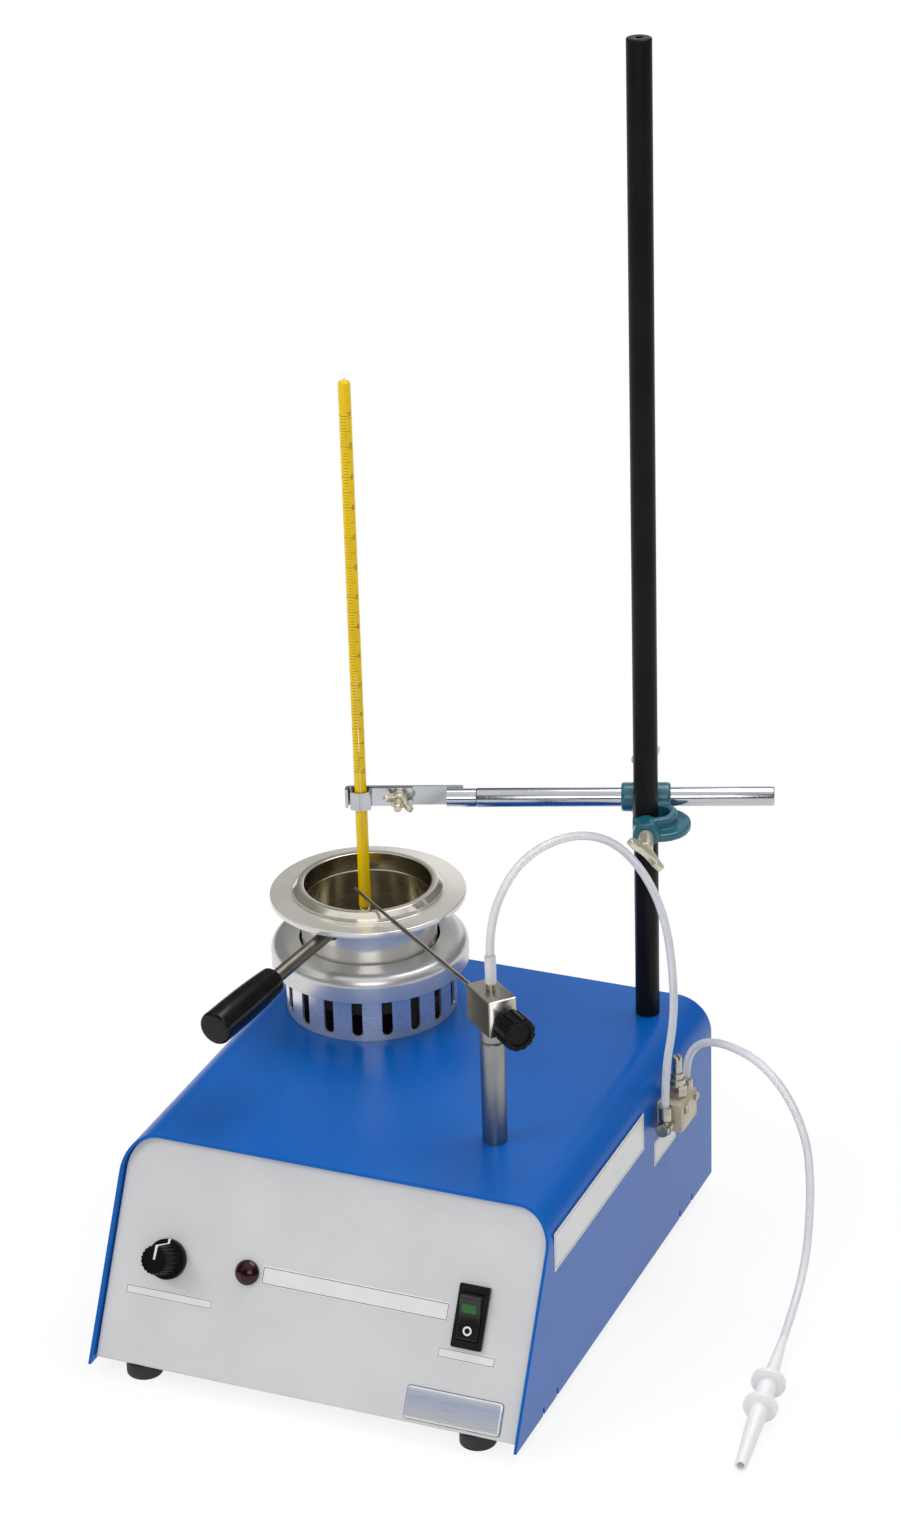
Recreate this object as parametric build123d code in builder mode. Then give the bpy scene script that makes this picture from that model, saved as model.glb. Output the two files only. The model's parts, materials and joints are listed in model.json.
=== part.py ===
from build123d import *
import os
from math import asin, atan, atan2, cos, pi, radians, sin, tan

# Open cup flash point tester. Millimetres and degrees.
# Z = 0 is the underside of the grey tray, X = 0 the middle of the case, Y = 0 half its depth.
# The front looks along -Y; the four rubber feet reach below Z = 0.

# ---------------------------------------------------------------- driving dimensions
# Case: blue folded shell over a light grey folded tray
case_width = 220
case_depth = 270
case_height = 100
case_corner_r = 18
front_setback = 54
sheet = 1.5
tray_sheet = 2.0
tray_side_gap = 0.5
tray_top_gap = 0.3
panel_recess = 3.0
panel_edge_r = 1.0
tray_lip = 12
tab_reach = 14
tab_length = 17.5
tab_front_y = -91.4
tab_rear_y = 95.9
tab_relief = 1.6
tab_relief_height = 4.0

# Feet and the screws under the case
foot_r = 8.8
foot_height = 7.5
foot_side_inset = 24.0
foot_end_inset = 12.5
foot_edge_r = 1.0
foot_well_r = 4.2
foot_well_depth = 4.0
screw_r = 1.5
screw_head_r = 2.8
screw_head_height = 1.9
screw_length = 7.0
hole_clearance = 0.1

# Controls on the slanted panel: distance from the case's nearer side, and up the slope from its front edge
regulator_inset = 31.5
regulator_s = 56.3
lamp_inset = 72.7
lamp_s = 57.4
switch_inset = 33.0
switch_s = 57.6
plate_inset = 34.5
plate_s = 13.6
plate_width = 48.5
plate_height = 15.9
plate_thickness = 1.2

pot_bush_r = 3.5
pot_shaft_r = 3.0
pot_body_r = 12.0
pot_body_depth = 11.0
pot_shaft_length = 14.0
pot_nut_height = 2.0
pot_nut_r = 5.6
knob_skirt_r = 9.75
knob_skirt_height = 3.2
knob_boss_r = 7.6
knob_top_r = 7.0
knob_height = 17.0
knob_lift = 0.5
knob_flutes = 20
knob_flute_r = 0.7
knob_well_r = 6.2
knob_well_depth = 2.6

lamp_lens_r = 6.0
lamp_dome_height = 3.2
lamp_rim_height = 1.2
lamp_body_r = 4.6
lamp_body_depth = 24.0
lamp_collar_r = 6.5
lamp_collar_height = 4.0

switch_frame_width = 15.2
switch_frame_height = 29.8
switch_frame_lip = 1.8
switch_body_width = 12.6
switch_body_height = 26.4
switch_body_depth = 19.0
rocker_width = 10.4
rocker_r = 11.0
rocker_tilt = 10.0
rocker_crown = 3.2
rocker_gap = 0.3
rocker_depth = 7.0
rocker_pin_r = 1.5

# Rear wall: three-pin mains inlet and ventilation slots
inlet_inset = 48.0
inlet_z = 34.0
inlet_cavity_width = 24.6
inlet_cavity_height = 17.0
inlet_cavity_depth = 16.0
inlet_corner = 4.0
inlet_wall = 1.5
inlet_flange_width = 50.0
inlet_flange_height = 23.0
inlet_flange_thickness = 2.5
inlet_hole_spacing = 40.0
inlet_screw_r = 1.5
pin_width = 2.0
pin_height = 4.0
pin_length = 12.5
pin_spread = 7.0
pin_raise = 1.5
earth_raise = 5.0
vent_count = 9
vent_spacing = 9.0
vent_length = 34.0
vent_width = 3.2
vent_inset = 65.0
vent_z = 52.0

# Control board inside
board_width = 110.0
board_depth = 80.0
board_thickness = 1.6
board_left_inset = 35.0
board_front_inset = 40.0
standoff_height = 8.0
standoff_r = 3.0
standoff_inset = 6.0
heatsink_width = 40.0
heatsink_depth = 24.0
heatsink_height = 26.0
heatsink_base = 3.0
heatsink_fins = 7
fin_thickness = 1.4
terminal_width = 46.0
terminal_depth = 9.0
terminal_height = 11.0
terminal_ways = 6

# Heater and its guard, on the cup's axis, which is set in from the case's left side and rear
cup_side_inset = 59.5
cup_rear_inset = 57.6
shield_r = 43.0
shield_wall = 1.2
shield_height = 37.0
shield_slots = 18
slot_width = 5.3
slot_bottom = 2.6
slot_top = 30.0
slot_start = -76.0
cover_r = 49.5
cover_height = 13.8
cover_shoulder_r = 6.0
cover_thickness = 1.2
cover_gap = 1.25
ceramic_r = 4.0
ceramic_height = 12.0
ceramic_circle_r = 33.0
former_r = 38.0
former_height = 12.0
groove_inner_r = 16.0
groove_outer_r = 33.0
groove_depth = 6.0
coil_wire_r = 2.2
coil_rings = 3
heater_plate_r = 41.0
heater_plate_thickness = 5.7
wire_hole_r = 3.0
wire_hole_offset = 12.0

# Test cup and its handle
cup_seat_gap = 0.3
cup_outer_r = 34.0
cup_inner_r = 31.75
cup_floor = 3.6
cup_depth = 33.6
cup_rim_height = 4.5
cup_rim_r = 35.0
cup_bevel_r = 37.5
cup_flange_r = 49.0
cup_flange_thickness = 3.0
cup_base_r = 2.0
fill_ridge_drop = 9.7
fill_ridge = 0.4
handle_turn = -98.6
handle_droop = 3.0
handle_height = 26.7
handle_r = 3.5
handle_grip_start = 87.5
handle_grip_length = 50.5
handle_tang = 20.0
grip_inner_r = 7.0
grip_outer_r = 8.5
grip_bore_gap = 0.05

# Burner: post, swinging block, flame tube, needle and hose nipple
post_side_inset = 50.0
post_fold_gap = 50.0
post_r = 6.0
post_height = 54.0
stud_r = 4.0
stud_length = 12.0
nut_height = 6.5
nut_r = 7.4
collar_height = 7.0
collar_edge = 0.7
pivot_r = 3.0
pivot_length = 14.0
pivot_gap = 0.05
set_screw_r = 1.5
set_screw_height = 3.2
swing_gap = 0.3
burner_turn = 139.6
block_length = 23.1
block_width = 14.4
block_height = 18.7
block_edge = 0.5
flame_tube_r = 1.2
flame_tube_height = 11.2
flame_tube_drop = 1.36
flame_tube_socket = 6.0
flame_tube_end = 104.0
nozzle_r = 0.85
nozzle_end = 146.0
nozzle_socket = 5.0
gas_way_r = 1.0
needle_height = 8.2
needle_r = 2.0
needle_reach = 9.0
packing_nut_r = 4.8
packing_nut_length = 4.5
burner_knob_r = 8.25
burner_knob_start = 5.0
burner_knob_length = 12.3
burner_knob_flutes = 12
burner_knob_flute_r = 1.0
burner_knob_dish_r = 5.6
burner_knob_dish = 1.2
nipple_r = 1.8
nipple_length = 9.0
nipple_foot_r = 2.3
nipple_foot_height = 2.6
cuff_r = 2.7
cuff_lift = 4.0
cuff_length = 14.0

# Gas needle valve on the right wall
valve_rear_inset = 69.35
valve_drop = 31.3
valve_thickness = 13.45
valve_depth = 20.3
valve_height = 14.7
valve_edge = 1.0
spindle_offset = 6.7
bonnet_hex_r = 4.95
bonnet_hex_height = 6.6
bonnet_ring_r = 4.0
bonnet_ring_height = 3.0
bonnet_neck_r = 3.1
bonnet_neck_height = 3.2
spindle_r = 2.35
spindle_top = 22.0
spindle_socket = 6.0
spindle_slot = 0.8
spindle_slot_depth = 1.6
eye_r = 4.0
eye_thickness = 5.2
eye_spacer = 2.4
eye_spacer_r = 3.0
eye_height = 5.3
nipple_offset = 6.0
valve_nipple_r = 3.1
valve_nipple_height = 16.2
banjo_head_r = 3.4
banjo_head_height = 3.0
banjo_bolt_r = 2.0
banjo_bolt_reach = 5.0
valve_screw_r = 1.25
valve_screw_head_r = 2.2
valve_screw_head_height = 1.4
valve_screw_spread = 7.1
valve_screw_height = 11.9

# Silicone gas hoses: the points of each route, from nipple to nipple and from nipple to connector
hose_r = 2.0
hose_fillet_share = 0.45
burner_route = [
    (60.0, -31.0, 196.5),
    (60.0, -31.0, 207.5),
    (63.0, -27.5, 224.5),
    (69.3, -18.2, 239.0),
    (79.3, -4.8, 246.0),
    (90.7, 11.9, 244.8),
    (101.0, 28.2, 234.0),
    (110.2, 41.3, 213.4),
    (116.4, 50.3, 187.5),
    (118.9, 54.4, 158.3),
    (119.3, 54.7, 130.0),
    (116.0, 50.5, 103.5),
    (116.0, 50.5, 83.4),
]
supply_route = [
    (116.0, 80.8, 83.4),
    (116.0, 80.8, 92.5),
    (121.5, 78.6, 104.0),
    (133.5, 70.5, 112.5),
    (147.5, 60.5, 117.0),
    (164.2, 51.0, 117.0),
    (181.0, 43.0, 106.5),
    (192.0, 39.0, 86.0),
    (194.2, 38.2, 62.5),
    (193.4, 39.8, 44.0),
    (193.0, 36.5, 24.0),
    (194.8, 20.0, 14.4),
    (197.2, -3.8, 9.2),
    (198.35, -14.68, 7.73),
]

# Hose connector lying on the bench
connector_tip = (207.7, -103.6, -4.2)
connector_turn = 96.0
connector_rise = 7.6
connector_tip_r = 3.1
connector_barrel_length = 40.0
connector_barrel_r = 4.55
connector_flange_r = 8.2
connector_flange_thickness = 2.4
connector_flange_gap = 15.0
connector_neck_r = 4.6
connector_stem_length = 30.4
connector_stem_r = 3.75
connector_bore_r = 1.9
connector_bore_depth = 30.0
connector_steps = 6
connector_step_height = 0.25
connector_stem_end_r = connector_stem_r - 1.2 * connector_step_height * (connector_steps - 1)

# Stand rod, boss head and thermometer clamp
stand_side_inset = 25.6
stand_rear_inset = 22.9
stand_r = 6.0
stand_height = 497.0
stand_edge = 0.8
stand_dimple_r = 1.6
stand_stud_gap = 0.05
stand_seat_gap = 0.3
arm_height = 111.5
arm_offset = 16.0
arm_r = 4.8
arm_gap = 0.06
arm_right = 63.0
arm_edge = 0.8
sleeve_length = 24.5
sleeve_r = 7.2
sleeve_edge_r = 1.5
hook_bottom = -12.0
hook_height = 12.0
hook_wall = 4.0
hook_gap = 0.3
hook_left = 6.5
hook_right = 5.2
web_bottom = -9.3
web_thickness = 3.8
web_centre = 5.5
web_r = 16.5
rod_screw_drop = -5.2
screw_boss_r = 6.25
screw_boss_end = 17.5
arm_screw_boss_r = 5.5
arm_screw_boss_height = 9.0
thumb_screw_r = 2.5
thumb_thread_gap = 0.06
thumb_tip_gap = 0.3
thumb_hub_r = 3.6
thumb_wing_height = 10.0
thumb_wing_thickness = 3.2
thumb_wing_tip_r = 2.3
thumb_dip_r = 9.0
thumb_dip = 2.2
rod_thumb_length = 24.0
rod_thumb_span = 22.5
rod_thumb_turn = -45.0
arm_thumb_length = 10.0
arm_thumb_span = 18.6
arm_thumb_turn = 50.0

clamp_stem_r = 4.7
clamp_stem_length = 14.4
clamp_plate_height = 10.0
clamp_plate_thickness = 1.5
clamp_plate_overlap = 8.0
clamp_tab = 4.5
clamp_tab_r = 1.6
jaw_thickness = 1.2
jaw_height = 9.6
jaw_gap = 0.5
jaw_length = 25.5
jaw_bend_r = 1.2
jaw_facet_turn = 20.0
jaw_side_room = 0.65
grip_gap = 0.3
bolt_gap_s = 18.8
bolt_to_arm = 38.1
bolt_r = 2.0
bolt_gap = 0.08
bolt_head_r = 3.6
bolt_head_height = 2.4
bolt_reach = 17.0
wing_nut_r = 4.0
wing_nut_height = 5.5
wing_nut_gap = 0.3
wing_nut_span = 16.0
wing_nut_wing = 9.0
wing_nut_wing_thickness = 2.2
wing_nut_tip_r = 1.9
wing_nut_turn = -28.0

thermometer_r = 3.05
thermometer_left = 2.448
thermometer_behind = 1.354
thermometer_n = -0.6
thermometer_bottom = 38.5
bulb_length = 14.2
bulb_r = 2.7
stem_length = 277.3
loop_r = 1.5
loop_wire_r = 0.6

# ---------------------------------------------------------------- shared planes and places
slope = atan(front_setback / case_height)
case_front = -case_depth / 2
case_rear = case_depth / 2
case_bottom = -sheet
case_top = case_height - sheet
case_side = case_width / 2
fold_y = case_front + front_setback
floor_z = -foot_height
tray_top = case_top - sheet - tray_top_gap
tray_rear = case_rear - panel_recess
foot_x = case_side - foot_side_inset
foot_y = case_rear - foot_end_inset
regulator_x = regulator_inset - case_side
lamp_x = lamp_inset - case_side
switch_x = case_side - switch_inset
plate_x = case_side - plate_inset
inlet_x = case_side - inlet_inset
vent_x = vent_inset - case_side
board_x = board_left_inset + board_width / 2 - case_side
board_y = case_front + board_front_inset + board_depth / 2
cup_x = cup_side_inset - case_side
cup_y = case_rear - cup_rear_inset
post_x = case_side - post_side_inset
post_y = fold_y + post_fold_gap
valve_y = case_rear - valve_rear_inset
valve_bottom = case_top - valve_drop
stand_x = case_side - stand_side_inset
stand_y = case_rear - stand_rear_inset

panel_plane = Plane(
    origin=(0, case_front, case_bottom), x_dir=(1, 0, 0), z_dir=(0, -cos(slope), sin(slope))
).offset(-panel_recess)
rear_plane = Plane(origin=(0, tray_rear, 0), x_dir=(-1, 0, 0), z_dir=(0, 1, 0))
top_plane = Plane.XY.offset(case_top)
under_top = Plane.XY.offset(case_top - sheet)


def slanted_y(z, depth):
    """How far back the panel's sheet stands at a height, a depth inside the shell's front edges."""
    return case_front + depth / cos(slope) + (z - case_bottom) * tan(slope)


def turned(plane, angle):
    """The same plane turned in itself."""
    return Plane(plane.location * Location((0, 0, 0), (0, 0, angle)))


def hose(points):
    """A hose along straight runs joined by the largest round bends that its runs allow."""
    corners = [Vector(*point) for point in points]
    runs = [after - before for before, after in zip(corners, corners[1:])]
    bends = []
    for before, after in zip(runs, runs[1:]):
        half_turn = radians(before.get_angle(after)) / 2
        bends.append(hose_fillet_share * min(before.length, after.length) / tan(half_turn))
    with BuildPart() as tube:
        with BuildLine() as route:
            FilletPolyline(*corners, radius=bends)
        path = route.wire()
        with BuildSketch(Plane(origin=path @ 0, z_dir=path % 0)):
            Circle(hose_r)
        sweep()
    volume = pi * hose_r**2 * path.length
    print("hose bends", [round(bend, 1) for bend in bends], "runs", [round(r.length, 1) for r in runs])
    print("hose length", round(path.length, 1), "volume ratio", round(tube.part.volume / volume, 4))
    return tube


os.makedirs("parts", exist_ok=True)

# ---------------------------------------------------------------- case
under_screws = [(x, y) for x in (-foot_x, foot_x) for y in (-foot_y, foot_y)]
tab_x = case_side - sheet - tab_reach / 2
tab_screws = [(x, y) for x in (-tab_x, tab_x) for y in (tab_front_y, tab_rear_y)]

# Blue shell: one bent sheet, open below, in front and behind, with four tabs under the tray.
with BuildPart() as blue_shell:
    with BuildSketch(Plane.YZ.offset(-case_side)):
        with BuildLine():
            Polyline(
                (case_front, case_bottom),
                (fold_y, case_top),
                (case_rear, case_top),
                (case_rear, case_bottom),
                close=True,
            )
        make_face()
    extrude(amount=case_width)
    long_edges = blue_shell.faces().sort_by(Axis.Z)[-1].edges().filter_by(Axis.Y)
    fillet(long_edges, case_corner_r)
    front_and_rear = blue_shell.faces().sort_by(Axis.Y)
    lower = blue_shell.faces().sort_by(Axis.Z)[0]
    offset(amount=-sheet, openings=[front_and_rear[0], front_and_rear[-1], lower], kind=Kind.INTERSECTION)
    with BuildSketch(Plane.XY.offset(case_bottom)):
        with Locations(*tab_screws):
            Rectangle(tab_reach + sheet, tab_length)
        with Locations(*tab_screws):
            Circle(screw_r + hole_clearance, mode=Mode.SUBTRACT)
    extrude(amount=sheet)
    # relief notches in the wall at both ends of each tab
    with BuildSketch(Plane.YZ.offset(-case_side)):
        for tab_y in (tab_front_y, tab_rear_y):
            with Locations((tab_y - tab_length / 2, case_bottom), (tab_y + tab_length / 2, case_bottom)):
                Rectangle(tab_relief, 2 * tab_relief_height)
    extrude(amount=case_width, mode=Mode.SUBTRACT)
    # holes in the top for the post, the stand rod and the heater's wires
    with BuildSketch(top_plane):
        with Locations((post_x, post_y), (stand_x, stand_y)):
            Circle(stud_r + hole_clearance)
        with Locations((cup_x, cup_y - wire_hole_offset), (cup_x, cup_y + wire_hole_offset)):
            Circle(wire_hole_r)
    extrude(amount=-2 * sheet, mode=Mode.SUBTRACT)
    # holes in the right wall for the valve's two screws
    with BuildSketch(Plane.YZ.offset(case_side)):
        with Locations(
            (valve_y - valve_screw_spread, valve_bottom + valve_screw_height),
            (valve_y + valve_screw_spread, valve_bottom + valve_screw_height),
        ):
            Circle(valve_screw_r + hole_clearance)
    extrude(amount=-2 * sheet, mode=Mode.SUBTRACT)
blue_shell.part.label = "blue_shell"
export_step(blue_shell.part, "parts/blue_shell.step")

# The space inside the shell, which the tray is cut to.
with BuildSketch(Plane.XZ.offset(-case_depth / 2)) as case_inside:
    with Locations((0, tray_top / 2)):
        Rectangle(case_width - 2 * (sheet + tray_side_gap), tray_top)
    fillet(case_inside.vertices().group_by(Axis.Y)[-1], case_corner_r - sheet - tray_side_gap)

# Grey tray: floor, slanted front panel and rear wall folded from one textured sheet.
outer_top = slanted_y(tray_top, panel_recess)
with BuildPart() as grey_tray:
    with BuildSketch(Plane.YZ.offset(-case_side)):
        with BuildLine():
            Polyline(
                (outer_top + tray_lip, tray_top),
                (outer_top, tray_top),
                (slanted_y(0, panel_recess), 0),
                (tray_rear, 0),
                (tray_rear, tray_top),
                (tray_rear - tray_lip, tray_top),
                (tray_rear - tray_lip, tray_top - tray_sheet),
                (tray_rear - tray_sheet, tray_top - tray_sheet),
                (tray_rear - tray_sheet, tray_sheet),
                (slanted_y(tray_sheet, panel_recess + tray_sheet), tray_sheet),
                (slanted_y(tray_top - tray_sheet, panel_recess + tray_sheet), tray_top - tray_sheet),
                (outer_top + tray_lip, tray_top - tray_sheet),
                close=True,
            )
        make_face()
    extrude(amount=case_width)
    extrude(case_inside.sketch, amount=case_depth, mode=Mode.INTERSECT)
    fold_edges = grey_tray.edges().filter_by(Axis.X)
    fillet([fold_edges.sort_by(Axis.Y)[0], fold_edges.group_by(Axis.Z)[-1].sort_by(Axis.Y)[0]], panel_edge_r)
    with BuildSketch(Plane.XY):
        with Locations(*under_screws, *tab_screws):
            Circle(screw_r + hole_clearance)
    extrude(amount=tray_sheet, mode=Mode.SUBTRACT)
    with BuildSketch(panel_plane):
        with Locations((regulator_x, regulator_s)):
            Circle(pot_bush_r + hole_clearance)
        with Locations((lamp_x, lamp_s)):
            Circle(lamp_body_r + hole_clearance)
        with Locations((switch_x, switch_s)):
            Rectangle(switch_body_width + 2 * hole_clearance, switch_body_height + 2 * hole_clearance)
    extrude(amount=-tray_sheet, mode=Mode.SUBTRACT)
    with BuildSketch(rear_plane):
        with Locations((-inlet_x, inlet_z)):
            Rectangle(
                inlet_cavity_width + 2 * (inlet_wall + hole_clearance),
                inlet_cavity_height + 2 * (inlet_wall + hole_clearance),
            )
        with Locations(
            (-inlet_x - inlet_hole_spacing / 2, inlet_z), (-inlet_x + inlet_hole_spacing / 2, inlet_z)
        ):
            Circle(inlet_screw_r + hole_clearance)
        with Locations((-vent_x, vent_z)):
            with GridLocations(vent_spacing, 0, vent_count, 1):
                SlotOverall(vent_length, vent_width, rotation=90)
    extrude(amount=-tray_sheet, mode=Mode.SUBTRACT)
grey_tray.part.label = "grey_tray"
export_step(grey_tray.part, "parts/grey_tray.step")

# Blank name plate: a small silvered plate with a domed edge, stuck on the panel.
with BuildPart() as blank_plate:
    with BuildSketch(panel_plane):
        with Locations((plate_x, plate_s)):
            RectangleRounded(plate_width, plate_height, plate_thickness)
    extrude(amount=plate_thickness)
    fillet(blank_plate.edges().group_by(Axis(panel_plane.origin, panel_plane.z_dir))[-1], plate_thickness / 2)
blank_plate.part.label = "blank_plate"
export_step(blank_plate.part, "parts/blank_plate.step")

# Rubber feet with a well for their screw's head.
with BuildPart() as rubber_feet:
    with BuildSketch(Plane.XY.offset(floor_z)):
        with Locations(*under_screws):
            Circle(foot_r)
    extrude(amount=foot_height)
    fillet(rubber_feet.edges().group_by(Axis.Z)[0], foot_edge_r)
    with BuildSketch(Plane.XY.offset(floor_z)):
        with Locations(*under_screws):
            Circle(foot_well_r)
    extrude(amount=foot_well_depth, mode=Mode.SUBTRACT)
    with BuildSketch(Plane.XY.offset(floor_z)):
        with Locations(*under_screws):
            Circle(screw_r + hole_clearance)
    extrude(amount=foot_height, mode=Mode.SUBTRACT)
rubber_feet.part.label = "rubber_feet"
export_step(rubber_feet.part, "parts/rubber_feet.step")

# Screws from below: four in the feet and four in the shell's tabs.
foot_seat = floor_z + foot_well_depth
with BuildPart() as case_screws:
    for seat, places in ((foot_seat, under_screws), (case_bottom, tab_screws)):
        with BuildSketch(Plane.XY.offset(seat)):
            with Locations(*places):
                Circle(screw_head_r)
        extrude(amount=-screw_head_height)
        with BuildSketch(Plane.XY.offset(seat)):
            with Locations(*places):
                Circle(screw_r)
        extrude(amount=screw_length)
case_screws.part.label = "case_screws"
export_step(case_screws.part, "parts/case_screws.step")

# Mains inlet: a moulded socket with three blade pins, screwed in the rear wall.
inlet_plane = Plane(origin=(inlet_x, tray_rear, inlet_z), x_dir=(-1, 0, 0), z_dir=(0, 1, 0))
inlet_mouth = inlet_plane.offset(inlet_flange_thickness)
with BuildPart() as mains_inlet:
    with BuildSketch(inlet_plane):
        RectangleRounded(inlet_flange_width, inlet_flange_height, inlet_corner)
    extrude(amount=inlet_flange_thickness)
    with BuildSketch(inlet_plane):
        Rectangle(inlet_cavity_width + 2 * inlet_wall, inlet_cavity_height + 2 * inlet_wall)
    extrude(amount=inlet_flange_thickness - inlet_cavity_depth - inlet_wall)
    with BuildSketch(inlet_mouth):
        cavity = Rectangle(inlet_cavity_width, inlet_cavity_height)
        chamfer(cavity.vertices().group_by(Axis.Y)[-1], inlet_corner)
    extrude(amount=-inlet_cavity_depth, mode=Mode.SUBTRACT)
    with BuildSketch(inlet_mouth.offset(-inlet_cavity_depth)):
        with Locations((-pin_spread, pin_raise), (pin_spread, pin_raise), (0, earth_raise)):
            Rectangle(pin_width, pin_height)
    extrude(amount=pin_length)
    with BuildSketch(inlet_mouth):
        with Locations((-inlet_hole_spacing / 2, 0), (inlet_hole_spacing / 2, 0)):
            Circle(inlet_screw_r + hole_clearance)
    extrude(amount=-inlet_flange_thickness, mode=Mode.SUBTRACT)
mains_inlet.part.label = "mains_inlet"
export_step(mains_inlet.part, "parts/mains_inlet.step")

with BuildPart() as inlet_screws:
    for side in (-1, 1):
        with BuildSketch(inlet_mouth):
            with Locations((side * inlet_hole_spacing / 2, 0)):
                Circle(screw_head_r)
        extrude(amount=screw_head_height)
        with BuildSketch(inlet_mouth):
            with Locations((side * inlet_hole_spacing / 2, 0)):
                Circle(inlet_screw_r)
        extrude(amount=-inlet_flange_thickness - tray_sheet - screw_head_height)
inlet_screws.part.label = "inlet_screws"
export_step(inlet_screws.part, "parts/inlet_screws.step")

# ---------------------------------------------------------------- controls on the panel
regulator_plane = Plane(
    origin=panel_plane.from_local_coords((regulator_x, regulator_s, 0)),
    x_dir=panel_plane.x_dir,
    z_dir=panel_plane.z_dir,
)

# Regulator: a rotary control behind the panel, with its threaded bush through it.
with BuildPart() as regulator_pot:
    with BuildSketch(regulator_plane.offset(-tray_sheet)):
        Circle(pot_body_r)
    extrude(amount=-pot_body_depth)
    with BuildSketch(regulator_plane.offset(-tray_sheet)):
        Circle(pot_bush_r)
    extrude(amount=tray_sheet + pot_nut_height + hole_clearance)
    with BuildSketch(regulator_plane.offset(-tray_sheet - pot_body_depth + tray_sheet)):
        Circle(pot_shaft_r + pivot_gap)
    extrude(amount=2 * pot_body_depth, mode=Mode.SUBTRACT)
regulator_pot.part.label = "regulator_pot"
export_step(regulator_pot.part, "parts/regulator_pot.step")

with BuildPart() as pot_nut:
    with BuildSketch(regulator_plane):
        RegularPolygon(pot_nut_r, 6)
        Circle(pot_bush_r + hole_clearance, mode=Mode.SUBTRACT)
    extrude(amount=pot_nut_height)
pot_nut.part.label = "pot_nut"
export_step(pot_nut.part, "parts/pot_nut.step")

with BuildPart() as regulator_shaft:
    with BuildSketch(regulator_plane.offset(-pot_body_depth + swing_gap)):
        Circle(pot_shaft_r)
    extrude(amount=pot_body_depth - swing_gap + pot_shaft_length)
regulator_shaft.part.label = "regulator_shaft"
export_step(regulator_shaft.part, "parts/regulator_shaft.step")

with BuildPart() as regulator_knob:
    with BuildSketch(regulator_plane.offset(knob_lift)):
        Circle(knob_skirt_r)
    extrude(amount=knob_skirt_height)
    with BuildSketch(regulator_plane.offset(knob_lift)):
        Circle(knob_boss_r)
    with BuildSketch(regulator_plane.offset(knob_height)):
        Circle(knob_top_r)
    loft()
    with BuildSketch(regulator_plane.offset(knob_lift + knob_skirt_height)):
        with PolarLocations(knob_boss_r, knob_flutes):
            Circle(knob_flute_r)
    extrude(amount=knob_height, mode=Mode.SUBTRACT)
    with BuildSketch(regulator_plane.offset(knob_lift)):
        Circle(knob_well_r)
    extrude(amount=knob_well_depth, mode=Mode.SUBTRACT)
    with BuildSketch(regulator_plane):
        Circle(pot_shaft_r + hole_clearance)
    extrude(amount=pot_shaft_length + swing_gap, mode=Mode.SUBTRACT)
regulator_knob.part.label = "regulator_knob"
export_step(regulator_knob.part, "parts/regulator_knob.step")

# Heating lamp: red lens in front, neon holder and its ring nut behind.
lamp_plane = Plane(
    origin=panel_plane.from_local_coords((lamp_x, lamp_s, 0)),
    x_dir=panel_plane.x_dir,
    z_dir=panel_plane.z_dir,
)
lamp_ball_r = (lamp_lens_r**2 + lamp_dome_height**2) / (2 * lamp_dome_height)
lamp_top = lamp_rim_height + lamp_dome_height
with BuildPart() as lamp_lens:
    with BuildSketch(lamp_plane):
        Circle(lamp_lens_r)
    extrude(amount=lamp_top)
    with Locations(lamp_plane.offset(lamp_top - lamp_ball_r)):
        Sphere(lamp_ball_r, mode=Mode.INTERSECT)
lamp_lens.part.label = "lamp_lens"
export_step(lamp_lens.part, "parts/lamp_lens.step")

with BuildPart() as lamp_body:
    with BuildSketch(lamp_plane):
        Circle(lamp_body_r)
    extrude(amount=-lamp_body_depth)
    with BuildSketch(lamp_plane.offset(-tray_sheet)):
        Circle(lamp_collar_r)
    extrude(amount=-lamp_collar_height)
lamp_body.part.label = "lamp_body"
export_step(lamp_body.part, "parts/lamp_body.step")

# Rocker switch: the moulded frame and box snap in the panel, the rocker turns on a pin in it.
switch_plane = Plane(
    origin=panel_plane.from_local_coords((switch_x, switch_s, 0)),
    x_dir=panel_plane.x_dir,
    z_dir=panel_plane.z_dir,
)
rocker_slope = Plane(
    origin=switch_plane.origin, x_dir=panel_plane.y_dir, z_dir=panel_plane.x_dir
)
rocker_plane = turned(rocker_slope, rocker_tilt)
with BuildPart() as switch_frame:
    with BuildSketch(switch_plane):
        RectangleRounded(switch_frame_width, switch_frame_height, switch_frame_lip / 2)
    extrude(amount=switch_frame_lip)
    with BuildSketch(switch_plane):
        Rectangle(switch_body_width, switch_body_height)
    extrude(amount=-switch_body_depth)
    with BuildSketch(switch_plane.offset(switch_frame_lip)):
        Rectangle(rocker_width + 2 * rocker_gap, 2 * (rocker_r + rocker_gap))
    extrude(amount=-switch_frame_lip - rocker_r - 2 * rocker_gap, mode=Mode.SUBTRACT)
    with BuildSketch(rocker_slope):
        Circle(rocker_pin_r)
    extrude(amount=switch_body_width / 2, both=True)
switch_frame.part.label = "switch_frame"
export_step(switch_frame.part, "parts/switch_frame.step")

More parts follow.
